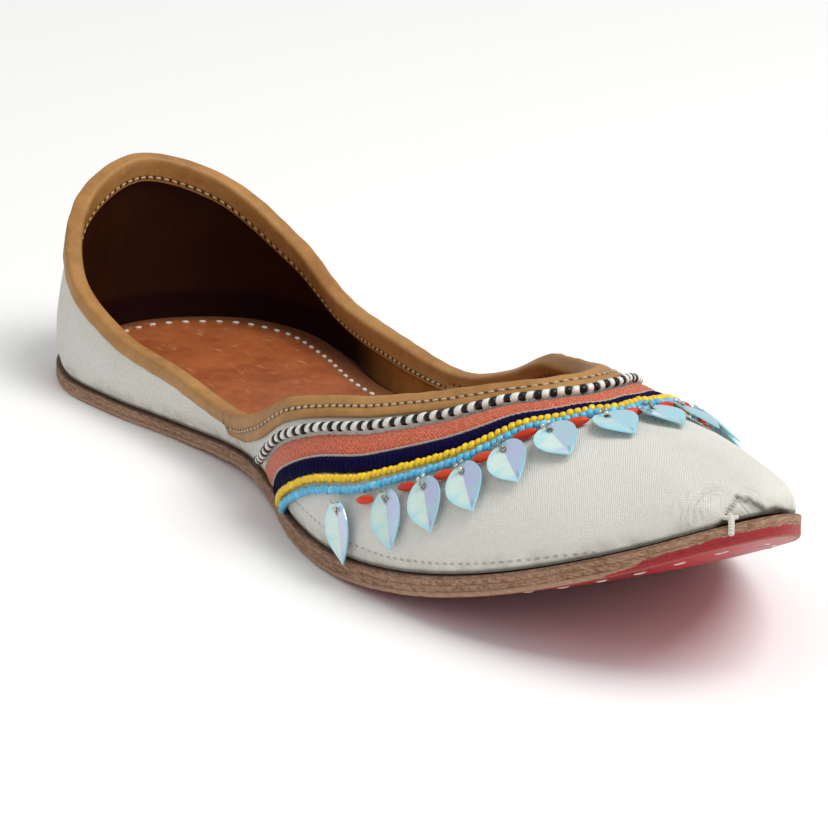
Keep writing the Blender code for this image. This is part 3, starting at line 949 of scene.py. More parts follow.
def make_sheet(name: str, columns: int, rows: int) -> tuple[Piece, Array, Array]:
    """Adds a flat grid to be shaped.

    Args:
        name: the piece's name.
        columns: faces across.
        rows: faces along.

    Returns:
        The grid and, for each of its points, the share across and the share along.
    """
    clear_bench()
    bpy.ops.mesh.primitive_grid_add(x_subdivisions=columns, y_subdivisions=rows, size=2.0, calc_uvs=True)
    piece = bpy.context.object
    piece.name = name
    piece.data.name = name
    points = coordinates(piece)
    return piece, points[:, 0] * 0.5 + 0.5, points[:, 1] * 0.5 + 0.5


def close_seams(piece: Piece, reach: float = TOUCH) -> None:
    """Joins points that lie on each other and turns every face outwards."""
    edit_all(
        piece,
        lambda: bpy.ops.mesh.remove_doubles(threshold=reach),
        lambda: bpy.ops.mesh.normals_make_consistent(inside=False),
    )


def close_ends(piece: Piece) -> None:
    """Fills the open ends of a strip that is closed all round."""
    edit_all(
        piece,
        lambda: bpy.ops.mesh.select_all(action="DESELECT"),
        lambda: bpy.ops.mesh.select_non_manifold(
            extend=False, use_wire=False, use_multi_face=False, use_non_contiguous=False, use_verts=False,
        ),
        lambda: bpy.ops.mesh.fill_holes(sides=0),
        lambda: bpy.ops.mesh.select_all(action="SELECT"),
        lambda: bpy.ops.mesh.normals_make_consistent(inside=False),
    )


def smooth_off(piece: Piece, angle: float) -> None:
    """Shades a piece smooth up to an angle in degrees."""
    take(piece)
    bpy.ops.object.shade_smooth_by_angle(angle=math.radians(angle))


def thicken(piece: Piece, thickness: float, offset: float, inside: int = 0) -> None:
    """Gives a sheet its wall.

    Args:
        piece: the sheet.
        thickness: the wall.
        offset: -1 puts it behind the faces, 1 in front.
        inside: how many material places further on the inner face takes its finish.
    """
    take(piece)
    wall = piece.modifiers.new("wall", "SOLIDIFY")
    wall.thickness = thickness
    wall.offset = offset
    wall.use_even_offset = False
    wall.material_offset = inside
    wall.material_offset_rim = inside
    bpy.ops.object.modifier_apply(modifier=wall.name)


def dress(piece: Piece, *materials: Finish) -> None:
    """Gives a piece its finishes, in the order of their places."""
    for material in materials:
        piece.data.materials.append(material)


def finish_piece(piece: Piece, slot: str, nodes: Sequence[str], *materials: Finish) -> None:
    """Gives a piece its finishes and its body, and hides the solids that it stands for.

    Args:
        piece: the piece.
        slot: the record's material slot; it is not used.
        nodes: the solids, if any.
        materials: its finishes, where it has none yet.
    """
    dress(piece, *materials)
    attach(piece, ROOT)
    if nodes:
        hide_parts(*nodes)
    log.info("%s: %d faces", piece.name, len(piece.data.polygons))


def varied(turn: float) -> float:
    """A number from 0 to 1 that changes unevenly from copy to copy, as the turn does."""
    return 0.5 + 0.5 * math.sin(turn)


def copy_of(model: Piece, name: str, place: Matrix, tone: float) -> Piece:
    """A copy of a model with a mesh of its own, at its place, with its own number as its tone.

    Args:
        model: what is copied.
        name: the copy's name.
        place: where it goes.
        tone: its number.

    Returns:
        The copy, at the origin.
    """
    copy = model.copy()
    copy.data = model.data.copy()
    copy.name = name
    copy.data.name = name
    copy.data.transform(place)
    bpy.context.collection.objects.link(copy)
    keep_tone(copy, "tone", tone)
    return copy


def join_pieces(first: Piece, *others: Piece) -> None:
    """Joins pieces to the first of them."""
    take(first)
    for other in others:
        other.select_set(True)
    if others:
        bpy.ops.object.join()


def copy_along(name: str, model: Piece, places: Sequence[Matrix], tones: Sequence[float]) -> Piece:
    """Copies a model to many places and joins the copies to one piece.

    Args:
        name: the piece's name.
        model: what is copied; it is removed afterwards.
        places: where each copy goes.
        tones: a number kept on each copy for its material.

    Returns:
        The joined piece, at the origin.
    """
    copies = [copy_of(model, name, place, tone) for place, tone in zip(places, tones)]
    bpy.data.objects.remove(model, do_unlink=True)
    join_pieces(*copies)
    return copies[0]


def round_model(segments: int, rings: int, size: tuple[float, float, float]) -> Piece:
    """A small smooth bead to be copied, with this length, width and height.

    Args:
        segments: faces round it.
        rings: faces along it.
        size: its length, width and height.

    Returns:
        The bead.
    """
    clear_bench()
    bpy.ops.mesh.primitive_uv_sphere_add(
        segments=segments, ring_count=rings, radius=0.5, rotation=(0, math.pi / 2, 0),
    )
    piece = bpy.context.object
    bpy.ops.object.transform_apply(location=True, rotation=True, scale=True)
    move_points(piece, coordinates(piece) * size)
    edit_all(piece, lambda: bpy.ops.mesh.normals_make_consistent(inside=False))
    bpy.ops.object.shade_smooth()
    return piece


def stand_at(point: Array, along: Array, upward: Array, out: Array) -> Matrix:
    """The place of a copy, from its point and its three directions.

    Args:
        point: where it stands.
        along: its length's way.
        upward: its width's.
        out: its height's.

    Returns:
        The place as a matrix.
    """
    matrix = Matrix.Identity(4)
    for column, values in enumerate((along, upward, out, point)):
        for row in range(3):
            matrix[row][column] = float(values[row])
    return matrix


def make_tube(name: str, path: Array, radius: float, aside: Array) -> Piece:
    """A round thread along a smooth path, closed at its ends.

    Args:
        name: the piece's name.
        path: the points that it goes through.
        radius: half its thickness.
        aside: a direction that the path never takes.

    Returns:
        The thread.
    """
    steps, sides, nudge, bluntness = 28, 10, 0.01, 12
    piece, across, turn = make_sheet(name, steps, sides)
    shares = across * (len(path) - 1)
    padded = np.vstack((2 * path[0] - path[1], path, 2 * path[-1] - path[-2]))

    def at(place: Array) -> Array:
        """Points of the thread's middle line."""
        first = np.clip(place.astype(int), 0, len(path) - 2)
        share = (place - first)[:, None]
        return smooth_curve([padded[first + i] for i in range(4)], share)

    heading = unit(at(np.minimum(shares + nudge, len(path) - 1)) - at(np.maximum(shares - nudge, 0.0)))
    over = unit(np.cross(heading, aside))
    beside = np.cross(over, heading)
    angle = np.rint(turn * sides) % sides * 2 * np.pi / sides
    shut = np.sqrt(np.clip(1 - np.abs(across * 2 - 1) ** bluntness, 0.0, 1.0)) * radius
    ring = np.cos(angle)[:, None] * over + np.sin(angle)[:, None] * beside
    move_points(piece, at(shares) + ring * shut[:, None])
    close_seams(piece)
    smooth_off(piece, 70)
    return piece


def barrel_model(sides: int, size: tuple[float, float, float], corner: float) -> Piece:
    """A cut bead with rounded ends, to be copied, with this length, width and height.

    Args:
        sides: faces round it.
        size: its length, width and height.
        corner: how far its ends are rounded.

    Returns:
        The bead.
    """
    clear_bench()
    bpy.ops.mesh.primitive_cylinder_add(vertices=sides, radius=0.5, depth=1.0, rotation=(0, math.pi / 2, 0))
    piece = bpy.context.object
    bpy.ops.object.transform_apply(location=True, rotation=True, scale=True)
    move_points(piece, coordinates(piece) * size)
    edit_all(
        piece,
        lambda: bpy.ops.mesh.select_mode(type="EDGE"),
        lambda: bpy.ops.mesh.select_all(action="DESELECT"),
        lambda: bpy.ops.mesh.edges_select_sharp(sharpness=math.radians(60)),
        lambda: bpy.ops.mesh.bevel(offset=corner, segments=2, affect="EDGES"),
        lambda: bpy.ops.mesh.select_mode(type="VERT"),
    )
    smooth_off(piece, 75)
    return piece


@dataclass
class Upper:
    """The lasted cloth upper: one hollow shell, lined, open at the collar and underneath."""

    last: Last
    columns: int = 440
    rows: int = 72
    run_samples: int = 2801
    rim: float = 0.0010
    toe_crowd: float = 0.45
    foot_crowd: float = 0.6
    side_seam: float = 9.0
    row_keys: tuple[float, ...] = (2.3, 3.0, 5.0, 6.6, 9.0)
    row_rises: tuple[float, ...] = (0.0006, 0.0015, 0.0025, 0.0052, 0.0060)
    gather_key: float = -0.62
    gather_rise: float = 0.0010
    toe_key: float = 0.0115
    side_key: float = 0.023
    tear_keys: tuple[float, ...] = (
        -0.92, -0.72, -0.62, -0.52, -0.38, -0.31, -0.24, -0.16, -0.06, 0.08, 0.30, 0.55, 0.85,
    )
    tear_rises: tuple[float, ...] = (
        0.0004, 0.0012, 0.0028, 0.0034, 0.0052, 0.0040, 0.0041, 0.0030, 0.0022, 0.0012, 0.0014, 0.0008,
        0.0004,
    )
    sag: float = 0.00028
    stitch_pull: float = 0.00018
    torn_step: float = 0.0008
    torn_lip: float = 0.0005
    tie_swell: float = 0.0004
    foot_wave: float = 0.00035
    thread_radius: float = 0.0006
    loop_radius: float = 0.00045
    # Where the lining's painted shade grows: along the shoe towards the heel, and down towards the sock.
    shaded_heel: tuple[float, float] = (0.034, 0.084)
    shaded_foot: tuple[float, float] = (0.012, 0.006)

    def keys(self, across: Array) -> Array:
        """Rib keys for the shares across, crowded at the toe where the cloth is gathered."""
        side = across * 2 - 1
        return LAST_RIB * side * (1 - self.toe_crowd + self.toe_crowd * np.abs(side))

    def row_rise(self, keys: Array) -> Array:
        """Height of the cloth's own stitched line over the sole."""
        return np.interp(np.abs(keys), self.row_keys, self.row_rises)

    def under_tear(self, keys: Array, rise: Array) -> tuple[Array, Array]:
        """How far each place lies under the jagged edge of the gathered cloth, and where that edge runs."""
        inside = smooth(keys, self.tear_keys[0], self.tear_keys[1])
        inside = inside * smooth(keys, self.tear_keys[-1], self.tear_keys[-2])
        return np.interp(keys, self.tear_keys, self.tear_rises) - rise, inside

    def hand_marks(self, keys: Array, reach: Array, length: Array) -> Array:
        """What the lasting left in the cloth: how far each place stands off the plain form.

        Args:
            keys: rib keys.
            reach: the way down each rib.
            length: the ribs' lengths.

        Returns:
            Offsets in metres, outwards.
        """
        rise = length - reach
        flat = self.last.flat(keys, reach)
        x, y = flat[:, 0], flat[:, 1]
        inside = smooth(rise, 0.0, 0.004) * smooth(reach, 0.004, 0.010)
        soft = 0.5 * np.sin(x * 95 + 2.1 * np.sin(y * 60)) * np.sin(y * 78 + 1.3)
        soft += 0.35 * np.sin(x * 170 + y * 60 + 0.7) * np.sin(y * 150 - x * 40)
        offset = inside * smooth(np.abs(keys), 9.5, 7.5) * self.sag * soft
        stitched = smooth(np.abs(keys), 2.3, 3.2) * smooth(np.abs(keys), 9.6, 8.6)
        offset -= self.stitch_pull * near(rise, self.row_rise(keys), 0.0007) * stitched
        under, torn = self.under_tear(keys, rise)
        offset -= self.torn_step * smooth(under, -0.0001, 0.0004) * torn
        offset += self.torn_lip * near(under, -0.0007, 0.0008) * torn
        beside = (keys - self.gather_key) * self.toe_key
        offset += self.tie_swell * near(beside, -0.0035, 0.0020) * near(rise, 0.0030, 0.0020)
        toe = smooth(np.abs(keys), 1.6, 0.6) * near(rise, 0.0018, 0.0014)
        offset += self.foot_wave * toe * np.sin(keys * 9.0 + 1.0) * (1 - torn)
        return offset

    def build(self) -> None:
        """Makes the shell, dresses it and ties its toe down."""
        piece, across, down = make_sheet("lasted_upper", self.columns, self.rows)
        keys = self.keys(across)
        length = self.last.lengths(keys)
        lowered = down * (1 - self.foot_crowd) + self.foot_crowd * (1 - (1 - down) ** 2)
        reach = self.rim + (length - self.rim) * lowered
        points = self.last.surface(keys, reach, self.hand_marks(keys, reach, length))
        lowest = down > 1 - 0.5 / self.rows
        points[:, 2] = np.where(lowest, self.last.on_rib(keys, length)[:, 2], points[:, 2])
        move_points(piece, points)
        keep_flat(piece, self.last.flat(keys, reach))
        rise = length - reach
        keep_tone(piece, "rise", rise)
        keep_tone(piece, "drop", reach - self.rim)
        fine = np.linspace(-LAST_RIB, LAST_RIB, self.run_samples)
        keep_tone(piece, "run", np.interp(keys, fine, walked(self.last.edge(fine)[0])))
        hidden = 1 - smooth(np.abs(keys), 2.3, 2.5) * smooth(np.abs(keys), 9.0, 8.8)
        keep_tone(piece, "row", rise - self.row_rise(keys) + hidden * 0.01)
        keep_tone(piece, "beside", (np.abs(keys) - self.side_seam) * self.side_key)
        keep_tone(piece, "far", np.hypot((keys - self.gather_key) * self.toe_key, rise - self.gather_rise))
        under, torn = self.under_tear(keys, rise)
        # Mask of the painted shadow line just under the torn edge, where the cloth steps in.
        keep_tone(piece, "tear_shadow", near(under, 0.0002, 0.0003) * torn)
        edit_all(piece, lambda: bpy.ops.mesh.remove_doubles(threshold=TOUCH))
        self.face_outwards(piece)
        # The near-black colour that darkens the lining is painted shade for the inside of the heel and
        # along the sock.
        lining = Leather(
            "lining leather", paint(176, 112, 52), paint(134, 80, 34), paint(188, 130, 74),
            roughness=0.65, wear=0.25, shade_and_stain=paint(30, 5, 2), gloss=0.08,
        )
        dress(piece, WovenCloth().make(), lining.make())
        thicken(piece, self.last.wall, -1.0, inside=1)
        # Painted shade on the lining, darker towards the heel and along the sock.
        self.shade_lining(piece)
        smooth_off(piece, 60)
        finish_piece(piece, "upper_fabric", ["upper"])
        self.toe_thread()

    def toe_thread(self) -> None:
        """The thick white thread that ties the gathered cloth down over the sole's edge."""
        key = np.array([self.gather_key])
        length = self.last.lengths(key)
        edge, outward = self.last.edge(key)
        way = np.append(outward[0], 0.0)
        ground = float(self.last.ground(edge[:, 0], edge[:, 1])[0])
        brim = ground + float(self.last.midsole_high(edge[:, 1])[0])
        foot = np.array((*edge[0], 0.0))
        path = [
            self.last.surface(key, length - 0.0020, -0.0004)[0],
            self.last.surface(key, length - 0.0012, 0.0002)[0],
            foot - way * 0.0006 + UP * (brim + 0.0009),
            foot + way * 0.0003 + UP * (brim + 0.0001),
            foot + way * 0.0005 + UP * (ground * 0.3 + brim * 0.7),
            foot + way * 0.0003 + UP * (ground * 0.5 + brim * 0.5),
        ]
        aside = np.cross(UP, way)
        down = make_tube("toe_thread", np.array(path), self.thread_radius, aside)
        middle = path[1] + way * 0.0003
        cross = np.array([
            middle + aside * 0.0015 - way * 0.0005,
            middle,
            middle - aside * 0.0016 - way * 0.0006,
        ])
        over = make_tube("toe_thread_loop", cross, self.loop_radius, UP)
        join_pieces(down, over)
        thread = SewingThread("tying thread", paint(226, 222, 208), 0.0007)
        finish_piece(down, "upper_fabric", [], thread.make())

    @staticmethod
    def face_outwards(piece: Piece) -> None:
        """Turns the open sheet's faces to the outside of the shoe."""
        mesh = piece.data
        face = max(mesh.polygons, key=lambda polygon: polygon.center.x)
        if face.normal.x < 0:
            edit_all(piece, lambda: bpy.ops.mesh.flip_normals())

    def shade_lining(self, piece: Piece) -> None:
        """Paints shade into the lining, darker towards the heel and along the sock, where the inside of the
        shoe lies in shadow.
        """
        points = coordinates(piece)
        back = smooth(points[:, 1], *self.shaded_heel)
        low = smooth(points[:, 2], *self.shaded_foot)
        keep_tone(piece, "shade_and_stain", np.clip(back * 0.96 + low * 0.12, 0, 1))


@dataclass
class Binding:
    """Leather strips folded over the upper's edge: a wide one at the throat, a narrow one at the collar."""

    last: Last
    thick: float = 0.0007
    throat_width: float = 0.0056
    collar_width: float = 0.0032
    inside: float = 0.0060
    join: float = 9.0
    join_gap: float = 0.003
    columns: int = 320
    corner: float = 0.0010
    stitch_line: float = 0.0033
    facing_line: float = 0.0048
    pitch: float = 0.0021
    stitch_share: float = 0.66
    stitch_width: float = 0.00052
    stitch_height: float = 0.00050
    sink: float = 0.00008
    groove: float = 0.00018

    def profile(self, width: float) -> Array:
        """The folded strip cut across, as (stand, reach) points of a closed line.

        Args:
            width: the strip's outer leg.

        Returns:
            The points in order.
        """
        gap, wall = self.last.gap, self.last.wall
        outer, inner = gap + self.thick, -wall - gap - self.thick
        lip = self.thick * 0.5
        points = [(gap, width), (gap + lip * 1.2, width)]
        points += [(outer, width - lip)] + [(outer, width * share) for share in (0.72, 0.52, 0.3)]
        quarter = math.pi / 2
        for side, inward, ends in ((outer, -1, (0, quarter)), (inner, 1, (quarter, 0))):
            for turn in np.linspace(*ends, 5):
                across, down = 1 - math.cos(turn), 1 - math.sin(turn)
                points.append((side + inward * self.corner * across, self.corner * down))
        points += [(inner, self.inside * share) for share in (0.4, 0.7)] + [(inner, self.inside - lip)]
        points += [(inner + self.thick - lip * 0.6, self.inside), (inner + self.thick, self.inside)]
        points += [(inner + self.thick, self.inside * 0.5), (inner + self.thick, self.thick)]
        points += [(gap, self.thick), (gap, width * 0.5)]
        return np.array(points)

    def walk(self, start: float, end: float, distance: float) -> tuple[Array, Array]:
        """Fine rib keys between two ends, past the heel too, and the way along a line at this distance."""
        keys = np.linspace(start, end, FINE)
        round_keys = round_the_heel(keys)
        return keys, walked(self.last.on_rib(round_keys, self.last.squared(round_keys, distance)))

    def strip(self, name: str, start: float, end: float, width: float, line: float) -> Piece:
        """Makes one strip.

        Args:
            name: the piece's name.
            start: rib key where it starts.
            end: rib key where it ends; past the heel it runs on beyond the last rib.
            width: its outer leg.
            line: where its stitching runs, measured from the topline.

        Returns:
            The strip, closed at its ends.
        """
        profile = self.profile(width)
        piece, across, along = make_sheet(name, self.columns, len(profile))
        place = start + (end - start) * across
        row = np.rint(along * len(profile)).astype(int) % len(profile)
        key, stand, reach = round_the_heel(place), profile[row, 0], profile[row, 1]
        square = np.where(reach > self.thick, self.last.squared(key, reach), reach)
        points = self.last.surface(key, square, stand)
        way = np.interp(place, *self.walk(start, end, line))
        wobble = 0.00006 * np.sin(way * 900) + 0.00005 * np.sin(way * 370 + 1.0)
        groove = -self.groove * near(reach, line, 0.0006)
        points += self.last.normals(key, square) * ((wobble + groove) * (stand > self.last.gap))[:, None]
        move_points(piece, points)
        keep_flat(piece, np.column_stack((way, reach)))
        close_seams(piece)
        close_ends(piece)
        smooth_off(piece, 50)
        return piece

    def stitches(self, name: str, start: float, end: float, distance: float, facing: Facing) -> Piece:
        """A row of stitches in a strip.

        Args:
            name: the piece's name.
            start: rib key where the strip starts.
            end: rib key where it ends; past the heel it runs on beyond the last rib.
            distance: how far the row lies from the topline.
            facing: the side of the upper that it shows on.

        Returns:
            The stitches as one piece.
        """
        keys, way = self.walk(start, end, distance)
        outside, inside = self.last.gap + self.thick, -self.last.wall - self.last.gap - self.thick
        stand = outside if facing is Facing.OUTSIDE else inside
        middle = (np.arange(1, int(way[-1] / self.pitch) - 1) + 0.5) * self.pitch

        def at(where: Array) -> tuple[Array, Array]:
            """Points of the row and the outward directions there."""
            key = round_the_heel(np.interp(where, way, keys))
            reach = self.last.squared(key, distance)
            sunk = stand - self.sink * facing.value
            return self.last.surface(key, reach, sunk), self.last.normals(key, reach)

        spot, out = at(middle)
        out = out * facing.value
        along = unit(at(middle + 0.0006)[0] - at(middle - 0.0006)[0])
        upward = unit(np.cross(out, along))
        along = np.cross(upward, out)
        places, tones = [], []
        for number in range(len(middle)):
            lean = 0.12 * math.sin(number * 2.3)
            places.append(stand_at(
                spot[number], unit(along[number] + upward[number] * lean),
                unit(upward[number] - along[number] * lean), out[number],
            ))
            tones.append(varied(number * 1.7))
        size = (self.pitch * self.stitch_share, self.stitch_width, self.stitch_height)
        return copy_along(name, round_model(8, 5, size), places, tones)

    def build(self) -> None:
        """Makes both strips with their stitching."""
        thread = SewingThread("pale thread", paint(222, 196, 152)).make()
        begin = self.join + self.join_gap
        finish = 2 * LAST_RIB - self.join - self.join_gap
        strips = (
            ("throat", -self.join, self.join, self.throat_width, self.stitch_line, Facing.OUTSIDE),
            ("collar", begin, finish, self.collar_width, self.facing_line, Facing.INSIDE),
        )
        for place, start, end, width, line, facing in strips:
            tan = Leather(
                f"{place} leather", paint(178, 130, 72), paint(148, 102, 50), paint(198, 156, 104),
                roughness=0.5, wear=0.3, slot=paint(70, 44, 22), slot_line=line, slot_pitch=self.pitch,
            ).make()
            piece = self.strip(f"folded_{place}_binding", start, end, width, line)
            finish_piece(piece, "binding_leather", [f"{place}_binding"], tan)
            row = self.stitches(f"{place}_stitches", start, end, line, facing)
            finish_piece(row, "binding_leather", [], thread)


@dataclass
class VampTrim:
    """The rows that follow the throat: the corded beads, two braids and two rows of seed beads."""

    last: Last
    cord_start: float = 0.0073
    cord_width: float = 0.0021
    cord_height: float = 0.0018
    coral_width: float = 0.0042
    coral_height: float = 0.0006
    navy_width: float = 0.0031
    navy_height: float = 0.0008
    bead_width: float = 0.0017
    bead_height: float = 0.0015
    gap: float = 0.0003
    stand: float = 0.0004
    end: float = 8.4
    end_slant: float = 14.4
    cord_bead: float = 0.0015
    cord_pitches: tuple[float, float] = (0.00135, 0.00150)
    cord_lean: float = 0.26
    cord_corner: float = 0.00036
    seed_lean: float = 0.10
    seed_corner: float = 0.00052
    ridge_pitch: float = 0.0012
    silver_width: float = 0.0005
    silver_step: float = 0.0006
    braid_samples: int = 1201
    braid_step: float = 0.0005
    braid_faces: int = 12
    back_faces: int = 8

    def row_end(self, start: float) -> float:
        """The rib key where a row stops: further forward the lower it lies."""
        return self.end - self.end_slant * start / self.last.length

    def braid(
        self, name: str, start: float, width: float, height: float, ribs: float, pitch: float,
    ) -> Piece:
        """A flat braid with a rounded back.

        Args:
            name: the piece's name.
            start: its upper edge, measured from the topline.
            width: its width.
            height: its height over the cloth.
            ribs: how much its cross ridges stand up.
            pitch: the ridges' spacing.

        Returns:
            The braid as a closed strip.
        """
        end = self.row_end(start)
        line = ThroatLine(self.last, start + width / 2, end, self.braid_samples)
        rows, top = self.braid_faces, self.back_faces
        columns = int(2 * line.half / min(pitch / 4, self.braid_step))
        piece, across, turn = make_sheet(name, columns, rows)
        way = (across * 2 - 1) * line.half
        step = np.rint(turn * rows).astype(int) % rows
        share = np.where(step <= top, step / top, 1 - (step - top) / (rows - top))
        back = step <= top
        arch = np.clip(1 - np.abs(share * 2 - 1) ** 4, 0, 1)
        ridge = np.sin(way * 2 * np.pi / pitch + (share - 0.5) * 1.6)
        stand = np.where(back, self.stand + height * (0.25 + 0.65 * arch) + ribs * ridge * arch, self.stand)
        keys = line.keys_at(way)
        frayed = 0.00012 * np.sin(way * 2400) * np.sin(way * 930)
        reach = self.last.drawn(keys, start + width * share + frayed * (np.abs(share - 0.5) > 0.45))
        move_points(piece, self.last.surface(keys, reach, stand))
        keep_flat(piece, np.column_stack((way, width * share)))
        close_seams(piece)
        close_ends(piece)
        smooth_off(piece, 60)
        return piece

    def thread_line(self, name: str, distance: float, end: float, width: float) -> Piece:
        """A thin couched thread that lies between two rows.

        Args:
            name: the piece's name.
            distance: where it lies, from the topline.
            end: the rib key where it stops.
            width: its thickness.

        Returns:
            The thread.
        """
        line = ThroatLine(self.last, distance, end)
        sides = 6
        piece, across, turn = make_sheet(name, int(2 * line.half / self.silver_step), sides)
        way = (across * 2 - 1) * line.half
        angle = np.rint(turn * sides) % sides * np.pi / (sides // 2)
        point, _, upward, out = line.frames(way, self.stand + width * 0.6)
        bead = 1 + 0.25 * np.sin(way * 2 * np.pi / self.ridge_pitch)
        ring = np.cos(angle)[:, None] * upward + np.sin(angle)[:, None] * out
        move_points(piece, point + ring * (width / 2 * bead)[:, None])
        close_seams(piece)
        smooth_off(piece, 80)
        return piece

    def beads(
        self, name: str, distance: float, end: float, sizes: Sequence[float],
        model_size: tuple[float, float, float], lean: float, stand: float, wander: float, corner: float,
    ) -> tuple[Piece, list[int]]:
        """A row of beads strung side by side.

        Args:
            name: the piece's name.
            distance: the row's middle, measured from the topline.
            end: the rib key where it stops.
            sizes: lengths of the beads in turn, repeated along the row.
            model_size: length, width and height of one bead.
            lean: how far each bead slants, as a slope.
            stand: height of the beads' middle over the cloth.
            wander: how far beads stray from the line.
            corner: how far the beads' ends are rounded.

        Returns:
            The row, and for each of its beads the number of its size.
        """
        line = ThroatLine(self.last, distance, end)
        total = 2 * line.half
        pattern = []
        used = 0.0
        while used + sizes[len(pattern) % len(sizes)] <= total:
            used += sizes[len(pattern) % len(sizes)]
            pattern.append(len(pattern) % len(sizes))
        lengths = np.array([sizes[kind] for kind in pattern]) * total / used
        middle = np.cumsum(lengths) - lengths / 2 - line.half
        point, along, upward, out = line.frames(middle, stand)
        places, tones = [], []
        for number, kind in enumerate(pattern):
            sway = math.sin(number * 2.399) * wander
            lift = math.sin(number * 1.713 + 0.4) * wander * 0.5
            slope = lean + 0.10 * math.sin(number * 3.1)
            spot = point[number] + upward[number] * sway + out[number] * lift
            stretch = lengths[number] / model_size[0] * (1.0 + 0.05 * math.sin(number * 5.3))
            tall = 1.0 + 0.07 * math.sin(number * 4.1 + 1.0)
            places.append(stand_at(
                spot, along[number] * stretch, unit(upward[number] + along[number] * slope) * tall,
                out[number] * tall,
            ))
            tones.append(kind + varied(number * 7.7))
        return copy_along(name, barrel_model(9, model_size, corner), places, tones), pattern

    def build(self) -> None:
        """Makes the rows from the topline outwards."""
        start = self.cord_start
        middle = start + self.cord_width / 2
        size = (self.cord_bead, self.cord_width, self.cord_height)
        cord, pattern = self.beads(
            "cord_beads", middle, self.row_end(start), self.cord_pitches, size, self.cord_lean,
            self.stand + self.cord_height * 0.5, 0.00005, self.cord_corner,
        )
        black = GlassBead(
            "black bead glass", paint(6, 5, 6), paint(16, 14, 16), roughness=0.3, coat=0.12, gloss=0.25,
        ).make()
        white = GlassBead(
            "white bead paste", paint(242, 240, 234), paint(224, 222, 214), roughness=0.34, coat=0.3,
        ).make()
        finishes = {BeadKind.BLACK: black, BeadKind.WHITE: white}
        finish_piece(cord, "bead_cord", ["bead_cord"], *(finishes[kind] for kind in BeadKind))
        self.deal_finishes(cord, pattern)
        start += self.cord_width + self.gap
        coral = BraidThread(
            "coral thread", paint(214, 90, 48), paint(232, 138, 104), paint(224, 146, 44), 0.00068, 0.9,
            fleck_share=0.7, glint_share=0.4, depth=0.00016,
        ).make()
        band = self.braid(
            "coral_braid", start, self.coral_width, self.coral_height, 0.00004, self.ridge_pitch,
        )
        finish_piece(band, "coral_thread", ["coral_band"], coral)
        start += self.coral_width + self.gap
        silver = SewingThread("silver thread", paint(196, 180, 172)).make()
        edge = self.thread_line(
            "silver_edge", start - self.gap * 0.6, self.row_end(start), self.silver_width,
        )
        finish_piece(edge, "navy_thread", [], silver)
        navy = BraidThread(
            "navy thread", paint(6, 1, 54), paint(12, 4, 72), paint(40, 30, 116), 0.0012, 0.25,
            fleck_share=0.5, glint_share=0.15, sheen=0.0, roughness=0.6, gloss=0.06,
        ).make()
        band = self.braid(
            "navy_braid", start, self.navy_width, self.navy_height, 0.00012, self.ridge_pitch,
        )
        finish_piece(band, "navy_thread", ["navy_band"], navy)
        start += self.navy_width + self.gap
        rows = (
            ("yellow_seed_beads", "yellow_beads", paint(250, 214, 8), paint(238, 194, 4), 0.00140),
            ("blue_seed_beads", "blue_beads", paint(124, 206, 240), paint(84, 182, 224), 0.00145),
        )
        for name, node, body, other, pitch in rows:
            size = (pitch * 1.02, self.bead_width, self.bead_height)
            pitches = (pitch, pitch * 1.06, pitch * 0.94)
            row, _ = self.beads(
                name, start + self.bead_width / 2, self.row_end(start), pitches, size, self.seed_lean,
                self.stand + self.bead_height * 0.5, 0.00010, self.seed_corner,
            )
            title = node.replace("_", " ") + " glass"
            glass = GlassBead(title, body, other, roughness=0.3, coat=0.25, gloss=0.35)
            finish_piece(row, node, [node], glass.make())
            start += self.bead_width + self.gap

    @staticmethod
    def deal_finishes(piece: Piece, pattern: Sequence[int]) -> None:
        """Gives each bead of the row the finish of its kind."""
        per = len(piece.data.polygons) // len(pattern)
        kinds = np.repeat(np.array(pattern, dtype=np.int32), per)
        piece.data.polygons.foreach_set("material_index", kinds)
        piece.data.update()


